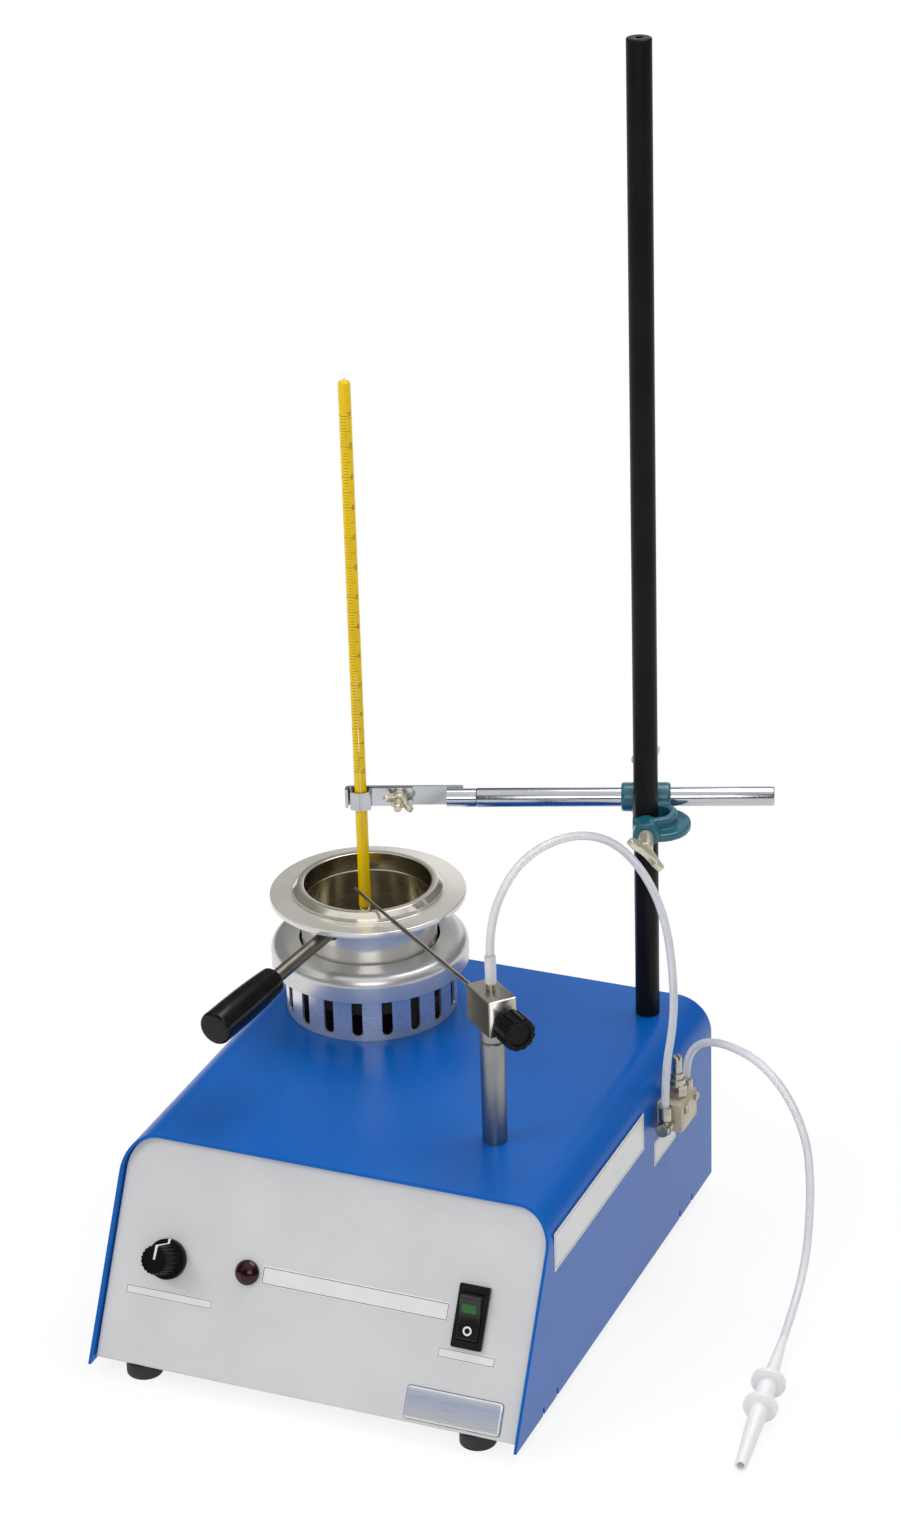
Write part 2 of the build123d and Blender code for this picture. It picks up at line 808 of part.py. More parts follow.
rocker_rise = rocker_crown + rocker_r * tan(radians(rocker_tilt))
with BuildPart() as switch_rocker:
    with BuildSketch(rocker_plane):
        with BuildLine():
            Polyline(
                (-rocker_r, -rocker_depth),
                (rocker_r, -rocker_depth),
                (rocker_r, rocker_rise),
                (0, rocker_crown),
                (-rocker_r, rocker_rise),
                close=True,
            )
        make_face()
        Circle(rocker_r, mode=Mode.INTERSECT)
        Circle(rocker_pin_r + pivot_gap, mode=Mode.SUBTRACT)
    extrude(amount=rocker_width / 2, both=True)
switch_rocker.part.label = "switch_rocker"
export_step(switch_rocker.part, "parts/switch_rocker.step")

# ---------------------------------------------------------------- control board
board_bottom = tray_sheet + standoff_height
board_top = board_bottom + board_thickness
with BuildPart() as control_board:
    with BuildSketch(Plane.XY.offset(board_bottom)):
        with Locations((board_x, board_y)):
            Rectangle(board_width, board_depth)
            with GridLocations(board_width - 2 * standoff_inset, board_depth - 2 * standoff_inset, 2, 2):
                Circle(screw_r + hole_clearance, mode=Mode.SUBTRACT)
    extrude(amount=board_thickness)
control_board.part.label = "control_board"
export_step(control_board.part, "parts/control_board.step")

with BuildPart() as board_standoffs:
    with BuildSketch(Plane.XY.offset(tray_sheet)):
        with Locations((board_x, board_y)):
            with GridLocations(board_width - 2 * standoff_inset, board_depth - 2 * standoff_inset, 2, 2):
                Circle(standoff_r)
    extrude(amount=standoff_height)
    with BuildSketch(Plane.XY.offset(board_bottom)):
        with Locations((board_x, board_y)):
            with GridLocations(board_width - 2 * standoff_inset, board_depth - 2 * standoff_inset, 2, 2):
                Circle(screw_r)
    extrude(amount=board_thickness + screw_head_height)
board_standoffs.part.label = "board_standoffs"
export_step(board_standoffs.part, "parts/board_standoffs.step")

fin_pitch = (heatsink_width - fin_thickness) / (heatsink_fins - 1)
heatsink_x = board_x - board_width / 4
heatsink_y = board_y + board_depth / 4
with BuildPart() as triac_heatsink:
    with BuildSketch(Plane.XY.offset(board_top)):
        with Locations((heatsink_x, heatsink_y)):
            Rectangle(heatsink_width, heatsink_depth)
    extrude(amount=heatsink_base)
    with BuildSketch(Plane.XY.offset(board_top)):
        with Locations((heatsink_x, heatsink_y)):
            with GridLocations(fin_pitch, 0, heatsink_fins, 1):
                Rectangle(fin_thickness, heatsink_depth)
    extrude(amount=heatsink_height)
triac_heatsink.part.label = "triac_heatsink"
export_step(triac_heatsink.part, "parts/triac_heatsink.step")

terminal_x = board_x + board_width / 4
terminal_y = board_y + board_depth / 2 - standoff_inset - terminal_depth
with BuildPart() as terminal_block:
    with BuildSketch(Plane.XY.offset(board_top)):
        with Locations((terminal_x, terminal_y)):
            Rectangle(terminal_width, terminal_depth)
    extrude(amount=terminal_height)
    with BuildSketch(Plane.XY.offset(board_top + terminal_height)):
        with Locations((terminal_x, terminal_y)):
            with GridLocations(terminal_width / terminal_ways, 0, terminal_ways, 1):
                Circle(terminal_depth / 4)
    extrude(amount=-terminal_height / 2, mode=Mode.SUBTRACT)
terminal_block.part.label = "terminal_block"
export_step(terminal_block.part, "parts/terminal_block.step")

# ---------------------------------------------------------------- heater
heater_axis = Plane(origin=(cup_x, cup_y, case_top))
former_bottom = ceramic_height
plate_bottom = ceramic_height + former_height
plate_top = plate_bottom + heater_plate_thickness
cup_z = case_top + plate_top + cup_seat_gap
cup_rim_z = cup_z + cup_floor + cup_depth

with BuildPart() as ceramic_standoffs:
    with BuildSketch(heater_axis):
        with PolarLocations(ceramic_circle_r, 3, start_angle=90):
            Circle(ceramic_r)
    extrude(amount=ceramic_height)
ceramic_standoffs.part.label = "ceramic_standoffs"
export_step(ceramic_standoffs.part, "parts/ceramic_standoffs.step")

with BuildPart() as heater_former:
    with BuildSketch(heater_axis.offset(former_bottom)):
        Circle(former_r)
    extrude(amount=former_height)
    with BuildSketch(heater_axis.offset(plate_bottom)):
        Circle(groove_outer_r)
        Circle(groove_inner_r, mode=Mode.SUBTRACT)
    extrude(amount=-groove_depth, mode=Mode.SUBTRACT)
heater_former.part.label = "heater_former"
export_step(heater_former.part, "parts/heater_former.step")

ring_pitch = (groove_outer_r - groove_inner_r) / coil_rings
coil_z = plate_bottom - groove_depth + coil_wire_r
with BuildPart() as heater_coil:
    for ring in range(coil_rings):
        with Locations(heater_axis.offset(coil_z)):
            Torus(groove_inner_r + ring_pitch * (ring + 0.5), coil_wire_r)
heater_coil.part.label = "heater_coil"
export_step(heater_coil.part, "parts/heater_coil.step")

with BuildPart() as heater_plate:
    with BuildSketch(heater_axis.offset(plate_bottom)):
        Circle(heater_plate_r)
    extrude(amount=heater_plate_thickness)
    chamfer(heater_plate.edges().group_by(Axis.Z)[-1], collar_edge)
heater_plate.part.label = "heater_plate"
export_step(heater_plate.part, "parts/heater_plate.step")

# Guard ring: a rolled strip with a row of upright slots.
slot_height = slot_top - slot_bottom
slot_planes = []
for slot in range(shield_slots):
    turn = radians(slot_start + slot * 360 / shield_slots)
    out = Vector(cos(turn), sin(turn), 0)
    slot_centre = heater_axis.origin + Vector(0, 0, slot_bottom + slot_height / 2)
    slot_planes.append(Plane(origin=slot_centre, x_dir=(0, 0, 1), z_dir=out))
with BuildPart() as heater_shield:
    with BuildSketch(heater_axis):
        Circle(shield_r)
        Circle(shield_r - shield_wall, mode=Mode.SUBTRACT)
    extrude(amount=shield_height)
    with BuildSketch(*slot_planes):
        SlotOverall(slot_height, slot_width)
    extrude(amount=shield_r + shield_wall, mode=Mode.SUBTRACT)
heater_shield.part.label = "heater_shield"
export_step(heater_shield.part, "parts/heater_shield.step")

# Cover: a pressed cap with a round shoulder, lying on the guard ring around the cup.
cover_top = shield_height + cover_thickness
with BuildPart() as heater_cover:
    with BuildSketch(heater_axis.offset(cover_top - cover_height)):
        Circle(cover_r)
    extrude(amount=cover_height)
    fillet(heater_cover.edges().group_by(Axis.Z)[-1], cover_shoulder_r)
    offset(amount=-cover_thickness, openings=heater_cover.faces().sort_by(Axis.Z)[0])
    with BuildSketch(heater_axis.offset(cover_top)):
        Circle(cup_outer_r + cover_gap)
    extrude(amount=-2 * cover_thickness, mode=Mode.SUBTRACT)
heater_cover.part.label = "heater_cover"
export_step(heater_cover.part, "parts/heater_cover.step")

# ---------------------------------------------------------------- cup
flange_top = cup_rim_z - cup_rim_height
flange_bottom = flange_top - cup_flange_thickness
bevel_foot = cup_rim_z - (cup_bevel_r - cup_rim_r)
ridge_z = cup_rim_z - fill_ridge_drop
with BuildPart() as cup:
    with BuildSketch(Plane(origin=(cup_x, cup_y, 0), x_dir=(1, 0, 0), z_dir=(0, -1, 0))):
        with BuildLine():
            Polyline(
                (0, cup_z),
                (cup_outer_r, cup_z),
                (cup_outer_r, flange_bottom),
                (cup_flange_r, flange_bottom),
                (cup_flange_r, flange_top),
                (cup_bevel_r, flange_top),
                (cup_bevel_r, bevel_foot),
                (cup_rim_r, cup_rim_z),
                (cup_inner_r, cup_rim_z),
                (cup_inner_r, ridge_z + fill_ridge),
                (cup_inner_r - fill_ridge, ridge_z),
                (cup_inner_r, ridge_z - fill_ridge),
                (cup_inner_r, cup_z + cup_floor),
                (0, cup_z + cup_floor),
                close=True,
            )
        make_face()
    revolve(axis=Axis((cup_x, cup_y, 0), (0, 0, 1)))
    fillet(cup.edges().filter_by(GeomType.CIRCLE).group_by(Axis.Z)[0], cup_base_r)
cup.part.label = "cup"
export_step(cup.part, "parts/cup.step")

# Handle: a steel rod welded on the cup's wall, with a moulded grip on its end.
handle_way = radians(handle_turn)
handle_fall = radians(handle_droop)
handle_dir = Vector(cos(handle_way) * cos(handle_fall), sin(handle_way) * cos(handle_fall), -sin(handle_fall))
handle_origin = Vector(cup_x, cup_y, cup_z + handle_height)
handle_plane = Plane(origin=handle_origin, x_dir=Vector(0, 0, 1).cross(handle_dir), z_dir=handle_dir)
handle_end = handle_grip_start + handle_tang
with BuildPart() as handle_rod:
    with BuildSketch(handle_plane):
        Circle(handle_r)
    extrude(amount=handle_end)
    with BuildSketch(Plane(origin=(cup_x, cup_y, cup_z))):
        Circle(cup_outer_r)
    extrude(amount=cup_depth + cup_rim_height, mode=Mode.SUBTRACT)
handle_rod.part.label = "handle_rod"
export_step(handle_rod.part, "parts/handle_rod.step")

grip_round_r = grip_outer_r / 2
with BuildPart() as handle_grip:
    with BuildSketch(handle_plane.offset(handle_grip_start)):
        Circle(grip_inner_r)
    with BuildSketch(handle_plane.offset(handle_grip_start + handle_grip_length)):
        Circle(grip_outer_r)
    loft()
    grip_rims = handle_grip.edges().filter_by(GeomType.CIRCLE).sort_by(Axis(handle_origin, handle_dir))
    fillet(grip_rims[-1], grip_round_r)
    fillet(grip_rims[0], panel_edge_r)
    with BuildSketch(handle_plane.offset(handle_grip_start)):
        Circle(handle_r + grip_bore_gap)
    extrude(amount=handle_tang + swing_gap, mode=Mode.SUBTRACT)
handle_grip.part.label = "handle_grip"
export_step(handle_grip.part, "parts/handle_grip.step")

# ---------------------------------------------------------------- burner
post_plane = Plane(origin=(post_x, post_y, case_top))
collar_z = post_height
block_z = collar_z + collar_height + swing_gap
block_top = block_z + block_height
with BuildPart() as burner_post:
    with BuildSketch(post_plane):
        Circle(post_r)
    extrude(amount=post_height)
    chamfer(burner_post.edges().group_by(Axis.Z)[-1], collar_edge)
    with BuildSketch(post_plane):
        Circle(stud_r)
    extrude(amount=-stud_length)
    with BuildSketch(post_plane.offset(post_height)):
        Circle(pivot_r + pivot_gap)
    extrude(amount=-pivot_length, mode=Mode.SUBTRACT)
burner_post.part.label = "burner_post"
export_step(burner_post.part, "parts/burner_post.step")

set_screw_dir = Vector(-1, 0, 0)
collar_screw_height = Vector(0, 0, collar_z + set_screw_height)
collar_screw_plane = Plane(
    origin=post_plane.origin + collar_screw_height + set_screw_dir * (pivot_r + swing_gap),
    x_dir=(0, 0, 1),
    z_dir=set_screw_dir,
)
collar_screw_length = post_r - pivot_r - 2 * swing_gap
with BuildPart() as burner_collar:
    with BuildSketch(post_plane.offset(collar_z)):
        Circle(post_r)
    extrude(amount=collar_height)
    chamfer(burner_collar.edges().group_by(Axis.Z)[0], collar_edge)
    with BuildSketch(post_plane.offset(collar_z)):
        Circle(pivot_r + pivot_gap)
    extrude(amount=collar_height, mode=Mode.SUBTRACT)
    with BuildSketch(collar_screw_plane.offset(-swing_gap)):
        Circle(set_screw_r + hole_clearance)
    extrude(amount=post_r, mode=Mode.SUBTRACT)
burner_collar.part.label = "burner_collar"
export_step(burner_collar.part, "parts/burner_collar.step")

with BuildPart() as collar_screw:
    with BuildSketch(collar_screw_plane):
        Circle(set_screw_r)
    extrude(amount=collar_screw_length)
    with BuildSketch(collar_screw_plane.offset(collar_screw_length)):
        RegularPolygon(set_screw_r / 2, 6)
    extrude(amount=-collar_screw_length / 2, mode=Mode.SUBTRACT)
collar_screw.part.label = "collar_screw"
export_step(collar_screw.part, "parts/collar_screw.step")

# Block: gas comes down through the nipple, past the needle and out into the flame tube.
burner_way = radians(burner_turn)
burner_dir = Vector(cos(burner_way), sin(burner_way), 0)
block_plane = Plane(origin=(post_x, post_y, case_top + block_z), x_dir=burner_dir, z_dir=(0, 0, 1))
tube_fall = radians(flame_tube_drop)
tube_dir = burner_dir * cos(tube_fall) - Vector(0, 0, sin(tube_fall))
tube_plane = Plane(
    origin=block_plane.from_local_coords((block_length / 2, 0, flame_tube_height)),
    x_dir=block_plane.y_dir,
    z_dir=tube_dir,
)
needle_plane = Plane(
    origin=block_plane.from_local_coords((-block_length / 2, 0, needle_height)),
    x_dir=block_plane.y_dir,
    z_dir=-burner_dir,
)
with BuildPart() as burner_block:
    with BuildSketch(block_plane):
        Rectangle(block_length, block_width)
    extrude(amount=block_height)
    chamfer(burner_block.edges(), block_edge)
    with BuildSketch(block_plane):
        Circle(pivot_r)
    extrude(amount=-collar_height - swing_gap - pivot_length + swing_gap)
    with BuildSketch(tube_plane):
        Circle(flame_tube_r + hole_clearance)
    extrude(amount=flame_tube_socket, both=True, mode=Mode.SUBTRACT)
    with BuildSketch(tube_plane):
        Circle(gas_way_r)
    extrude(amount=-block_length / 2, mode=Mode.SUBTRACT)
    with BuildSketch(needle_plane):
        Circle(needle_r + pivot_gap)
    extrude(amount=-needle_reach - swing_gap, mode=Mode.SUBTRACT)
    with BuildSketch(block_plane.offset(block_height)):
        Circle(gas_way_r)
    extrude(amount=needle_height - block_height, mode=Mode.SUBTRACT)
burner_block.part.label = "burner_block"
export_step(burner_block.part, "parts/burner_block.step")

tube_length = flame_tube_end - block_length / 2
with BuildPart() as flame_tube:
    with BuildSketch(tube_plane.offset(-flame_tube_socket)):
        Circle(flame_tube_r)
    extrude(amount=flame_tube_socket + tube_length)
    with BuildSketch(tube_plane.offset(tube_length)):
        Circle(nozzle_r + pivot_gap)
    extrude(amount=-nozzle_socket, mode=Mode.SUBTRACT)
    with BuildSketch(tube_plane.offset(-flame_tube_socket)):
        Circle(nozzle_r / 2)
    extrude(amount=flame_tube_socket + tube_length, mode=Mode.SUBTRACT)
flame_tube.part.label = "flame_tube"
export_step(flame_tube.part, "parts/flame_tube.step")

nozzle_length = nozzle_end - flame_tube_end
with BuildPart() as flame_nozzle:
    with BuildSketch(tube_plane.offset(tube_length - nozzle_socket)):
        Circle(nozzle_r)
        Circle(nozzle_r / 2, mode=Mode.SUBTRACT)
    extrude(amount=nozzle_socket + nozzle_length)
flame_nozzle.part.label = "flame_nozzle"
export_step(flame_nozzle.part, "parts/flame_nozzle.step")

# Needle, its packing nut and the fluted knob.
with BuildPart() as packing_nut:
    with BuildSketch(needle_plane):
        Circle(packing_nut_r)
        Circle(needle_r + pivot_gap, mode=Mode.SUBTRACT)
    extrude(amount=packing_nut_length)
packing_nut.part.label = "packing_nut"
export_step(packing_nut.part, "parts/packing_nut.step")

with BuildPart() as burner_needle:
    with BuildSketch(needle_plane.offset(-needle_reach)):
        Circle(needle_r)
    extrude(amount=needle_reach + burner_knob_start + burner_knob_length / 2)
    needle_tip = burner_needle.edges().filter_by(GeomType.CIRCLE).sort_by(Axis(needle_plane.origin, burner_dir))
    chamfer(needle_tip[-1], needle_r / 2)
burner_needle.part.label = "burner_needle"
export_step(burner_needle.part, "parts/burner_needle.step")

with BuildPart() as burner_knob:
    with BuildSketch(needle_plane.offset(burner_knob_start)):
        Circle(packing_nut_r)
    extrude(amount=burner_knob_length)
    with BuildSketch(needle_plane.offset(burner_knob_start + burner_knob_length / 5)):
        Circle(burner_knob_r)
    extrude(amount=burner_knob_length * 4 / 5)
    with BuildSketch(needle_plane.offset(burner_knob_start)):
        with PolarLocations(burner_knob_r + burner_knob_flute_r / 3, burner_knob_flutes):
            Circle(burner_knob_flute_r)
    extrude(amount=burner_knob_length, mode=Mode.SUBTRACT)
    with BuildSketch(needle_plane.offset(burner_knob_start + burner_knob_length)):
        Circle(burner_knob_dish_r)
    extrude(amount=-burner_knob_dish, mode=Mode.SUBTRACT)
    with BuildSketch(needle_plane.offset(burner_knob_start)):
        Circle(needle_r + hole_clearance)
    extrude(amount=burner_knob_length / 2 + hole_clearance, mode=Mode.SUBTRACT)
burner_knob.part.label = "burner_knob"
export_step(burner_knob.part, "parts/burner_knob.step")

with BuildPart() as burner_nipple:
    with BuildSketch(post_plane.offset(block_top)):
        Circle(nipple_foot_r)
    extrude(amount=nipple_foot_height)
    with BuildSketch(post_plane.offset(block_top)):
        Circle(nipple_r)
    extrude(amount=nipple_length)
    with BuildSketch(post_plane.offset(block_top)):
        Circle(gas_way_r)
    extrude(amount=nipple_length, mode=Mode.SUBTRACT)
burner_nipple.part.label = "burner_nipple"
export_step(burner_nipple.part, "parts/burner_nipple.step")

with BuildPart() as hose_cuff:
    with BuildSketch(post_plane.offset(block_top + cuff_lift)):
        Circle(cuff_r)
    extrude(amount=cuff_length)
    with BuildSketch(post_plane.offset(block_top + cuff_lift)):
        Circle(nipple_r + hole_clearance)
    extrude(amount=nipple_length, mode=Mode.SUBTRACT)
hose_cuff.part.label = "hose_cuff"
export_step(hose_cuff.part, "parts/hose_cuff.step")

# ---------------------------------------------------------------- gas valve
valve_middle = Vector(case_side + valve_thickness / 2, valve_y, valve_bottom + valve_height / 2)
spindle_plane = Plane(origin=(case_side + spindle_offset, valve_y, valve_bottom + valve_height))
valve_wall = Plane(origin=(case_side, valve_y, valve_bottom), x_dir=(0, 1, 0), z_dir=(1, 0, 0))
eye_planes = [
    Plane(
        origin=(case_side + nipple_offset, valve_y + side * valve_depth / 2, valve_bottom + eye_height),
        x_dir=(0, 0, 1),
        z_dir=(0, side, 0),
    )
    for side in (-1, 1)
]
with BuildPart() as valve_body:
    with Locations(valve_middle):
        Box(valve_thickness, valve_depth, valve_height)
    chamfer(valve_body.faces().sort_by(Axis.X)[-1].edges(), valve_edge)
    with BuildSketch(spindle_plane):
        Circle(spindle_r + pivot_gap)
    extrude(amount=-spindle_socket - swing_gap, mode=Mode.SUBTRACT)
    with BuildSketch(*eye_planes):
        Circle(banjo_bolt_r + hole_clearance)
    extrude(amount=-banjo_bolt_reach - swing_gap, mode=Mode.SUBTRACT)
    with BuildSketch(valve_wall):
        with Locations((-valve_screw_spread, valve_screw_height), (valve_screw_spread, valve_screw_height)):
            Circle(valve_screw_r + hole_clearance)
    extrude(amount=valve_thickness, mode=Mode.SUBTRACT)
valve_body.part.label = "valve_body"
export_step(valve_body.part, "parts/valve_body.step")

bonnet_height = bonnet_hex_height + bonnet_ring_height + bonnet_neck_height
with BuildPart() as valve_bonnet:
    with BuildSketch(spindle_plane):
        RegularPolygon(bonnet_hex_r, 6)
    extrude(amount=bonnet_hex_height)
    with BuildSketch(spindle_plane):
        Circle(bonnet_ring_r)
    extrude(amount=bonnet_hex_height + bonnet_ring_height)
    with BuildSketch(spindle_plane):
        Circle(bonnet_neck_r)
    extrude(amount=bonnet_height)
    with BuildSketch(spindle_plane):
        Circle(spindle_r + pivot_gap)
    extrude(amount=bonnet_height, mode=Mode.SUBTRACT)
valve_bonnet.part.label = "valve_bonnet"
export_step(valve_bonnet.part, "parts/valve_bonnet.step")

with BuildPart() as valve_spindle:
    with BuildSketch(spindle_plane.offset(-spindle_socket)):
        Circle(spindle_r)
    extrude(amount=spindle_socket + spindle_top)
    chamfer(valve_spindle.edges().group_by(Axis.Z)[-1], spindle_slot / 2)
    with BuildSketch(spindle_plane.offset(spindle_top)):
        Rectangle(spindle_slot, 3 * spindle_r, rotation=45)
    extrude(amount=-spindle_slot_depth, mode=Mode.SUBTRACT)
valve_spindle.part.label = "valve_spindle"
export_step(valve_spindle.part, "parts/valve_spindle.step")

# Banjo nipples, one on each end of the valve: an eye on the bolt and a barrel for the hose.
nipple_y_offset = valve_depth / 2 + eye_spacer + eye_thickness / 2
with BuildPart() as valve_nipples:
    with BuildSketch(*[plane.offset(eye_spacer) for plane in eye_planes]):
        Circle(eye_r)
    extrude(amount=eye_thickness)
    with BuildSketch(*eye_planes):
        Circle(eye_spacer_r)
    extrude(amount=eye_spacer)
    for side in (-1, 1):
        nipple_y = valve_y + side * nipple_y_offset
        with BuildSketch(Plane(origin=(case_side + nipple_offset, nipple_y, valve_bottom + eye_height))):
            Circle(valve_nipple_r - collar_edge)
        extrude(amount=eye_r + 1)
        with BuildSketch(Plane(origin=(case_side + nipple_offset, nipple_y, valve_bottom + eye_height + eye_r))):
            Circle(valve_nipple_r)
        extrude(amount=valve_nipple_height - eye_height - eye_r)
    with BuildSketch(*eye_planes):
        Circle(banjo_bolt_r + hole_clearance)
    extrude(amount=eye_spacer + eye_thickness, mode=Mode.SUBTRACT)
valve_nipples.part.label = "valve_nipples"
export_step(valve_nipples.part, "parts/valve_nipples.step")

with BuildPart() as banjo_bolts:
    with BuildSketch(*[plane.offset(eye_spacer + eye_thickness) for plane in eye_planes]):
        Circle(banjo_head_r)
    extrude(amount=banjo_head_height)
    with BuildSketch(*[plane.offset(-banjo_bolt_reach) for plane in eye_planes]):
        Circle(banjo_bolt_r)
    extrude(amount=banjo_bolt_reach + eye_spacer + eye_thickness)
banjo_bolts.part.label = "banjo_bolts"
export_step(banjo_bolts.part, "parts/banjo_bolts.step")

with BuildPart() as valve_screws:
    for side in (-1, 1):
        with BuildSketch(valve_wall.offset(valve_thickness)):
            with Locations((side * valve_screw_spread, valve_screw_height)):
                Circle(valve_screw_head_r)
        extrude(amount=valve_screw_head_height)
        with BuildSketch(valve_wall.offset(-2 * sheet)):
            with Locations((side * valve_screw_spread, valve_screw_height)):
                Circle(valve_screw_r)
        extrude(amount=valve_thickness + 2 * sheet)
        with BuildSketch(valve_wall.offset(valve_thickness + valve_screw_head_height)):
            with Locations((side * valve_screw_spread, valve_screw_height)):
                Rectangle(spindle_slot, 3 * valve_screw_head_r)
        extrude(amount=-valve_screw_head_height / 2, mode=Mode.SUBTRACT)
valve_screws.part.label = "valve_screws"
export_step(valve_screws.part, "parts/valve_screws.step")

# ---------------------------------------------------------------- hoses and connector
burner_hose = hose(burner_route)
burner_hose.part.label = "burner_hose"
export_step(burner_hose.part, "parts/burner_hose.step")

supply_hose = hose(supply_route)
supply_hose.part.label = "supply_hose"
export_step(supply_hose.part, "parts/supply_hose.step")

connector_way = radians(connector_turn)
connector_lift = radians(connector_rise)
connector_dir = Vector(
    cos(connector_way) * cos(connector_lift), sin(connector_way) * cos(connector_lift), sin(connector_lift)
)
connector_plane = Plane(
    origin=connector_tip, x_dir=Vector(0, 0, 1).cross(connector_dir), z_dir=connector_dir
)
connector_profile = Plane(origin=connector_tip, x_dir=connector_plane.x_dir, z_dir=-connector_plane.y_dir)
step_length = connector_barrel_length / connector_steps
flange_far = connector_barrel_length + connector_flange_thickness + connector_flange_gap
stem_start = flange_far + connector_flange_thickness
stem_step = connector_stem_length / connector_steps
outline = [(0, 0)]
for step in range(connector_steps):
    grown = connector_tip_r + (connector_barrel_r - connector_tip_r) * step / (connector_steps - 1)
    outline += [(grown - connector_step_height, step * step_length), (grown, (step + 1) * step_length)]
outline += [
    (connector_flange_r, connector_barrel_length),
    (connector_flange_r, connector_barrel_length + connector_flange_thickness),
    (connector_neck_r, connector_barrel_length + connector_flange_thickness),
    (connector_neck_r, flange_far),
    (connector_flange_r, flange_far),
    (connector_flange_r, stem_start),
]
for step in range(connector_steps):
    shrunk = connector_stem_r - (connector_stem_r - connector_stem_end_r) * step / (connector_steps - 1)
    outline += [(shrunk, stem_start + step * stem_step)]
    outline += [(shrunk - connector_step_height, stem_start + (step + 1) * stem_step)]
outline += [(0, stem_start + connector_stem_length)]
with BuildPart() as hose_connector:
    with BuildSketch(connector_profile):
        with BuildLine():
            Polyline(*outline, close=True)
        make_face()
    revolve(axis=Axis(connector_tip, connector_dir))
    with BuildSketch(connector_plane):
        Circle(connector_bore_r)
    extrude(amount=connector_bore_depth, mode=Mode.SUBTRACT)
hose_connector.part.label = "hose_connector"
export_step(hose_connector.part, "parts/hose_connector.step")

# ---------------------------------------------------------------- stand rod and boss head
stand_plane = Plane(origin=(stand_x, stand_y, case_top))
with BuildPart() as stand_rod:
    with BuildSketch(stand_plane.offset(stand_seat_gap)):
        Circle(stand_r)
    extrude(amount=stand_height - stand_seat_gap)
    chamfer(stand_rod.edges().group_by(Axis.Z)[-1], stand_edge)
    with BuildSketch(stand_plane.offset(stand_height)):
        Circle(stand_dimple_r)
    extrude(amount=-stand_r, mode=Mode.SUBTRACT)
    with BuildSketch(stand_plane.offset(stand_seat_gap)):
        Circle(stud_r + hole_clearance - stand_stud_gap)
    extrude(amount=-stud_length - stand_seat_gap)
stand_rod.part.label = "stand_rod"
export_step(stand_rod.part, "parts/stand_rod.step")

# The same nut holds the stand rod's and the burner post's studs inside the case.
with BuildPart() as stud_nuts:
    with BuildSketch(under_top):
        with Locations((post_x, post_y), (stand_x, stand_y)):
            RegularPolygon(nut_r, 6)
            Circle(stud_r + hole_clearance, mode=Mode.SUBTRACT)
    extrude(amount=-nut_height)
stud_nuts.part.label = "stud_nuts"
export_step(stud_nuts.part, "parts/stud_nuts.step")

# The arm points so that the thermometer hangs in the cup, a little left of its axis and behind it.
# Places on the boss head and the arm: s along the arm to the right, n behind the rod, h above the arm.
thermometer_reach = Vector(stand_x - cup_x + thermometer_left, stand_y - cup_y - thermometer_behind)
arm_way = atan2(thermometer_reach.Y, thermometer_reach.X) + asin(
    (arm_offset + thermometer_n) / thermometer_reach.length
)
arm_dir = Vector(cos(arm_way), sin(arm_way), 0)
back_dir = Vector(-sin(arm_way), cos(arm_way), 0)
arm_z = case_top + arm_height
thermometer_s = -thermometer_reach.dot(arm_dir)
bolt_s = thermometer_s + bolt_gap_s
arm_left = -bolt_s - bolt_to_arm
head_plane = Plane(origin=(stand_x, stand_y, arm_z), x_dir=arm_dir, z_dir=(0, 0, 1))


def across(s, n, h, normal):
    """A plane at a place on the head, seen along its normal, with its own x along the arm or upright."""
    x_dir = arm_dir if abs(normal.dot(arm_dir)) < 0.5 else Vector(0, 0, 1)
    return Plane(origin=head_plane.from_local_coords((s, n, h)), x_dir=x_dir, z_dir=normal)


def thumb_screw(base, hub_start, length, span, turn):
    """A thumb screw: its shank starts on the base plane, then a hub and a flat fish-tail wing."""
    wing = turned(base.offset(length), turn)
    wing_face = Plane(origin=wing.origin, x_dir=wing.x_dir, z_dir=-wing.y_dir)
    tip_x = span / 2 - thumb_wing_tip_r
    tip_y = thumb_wing_height - thumb_wing_tip_r
    with BuildPart() as screw:
        with BuildSketch(base):
            Circle(thumb_screw_r)
        extrude(amount=length)
        with BuildSketch(base.offset(hub_start)):
            Circle(thumb_hub_r)
        extrude(amount=length - hub_start + thumb_wing_tip_r)
        with BuildSketch(wing_face):
            with Locations((-tip_x, tip_y), (tip_x, tip_y)):
                Circle(thumb_wing_tip_r)
            with Locations((0, thumb_wing_tip_r / 2)):
                Rectangle(2 * thumb_hub_r, thumb_wing_tip_r)
            make_hull()
            with Locations((0, thumb_wing_height - thumb_dip + thumb_dip_r)):
                Circle(thumb_dip_r, mode=Mode.SUBTRACT)
        extrude(amount=thumb_wing_thickness / 2, both=True)
    return screw


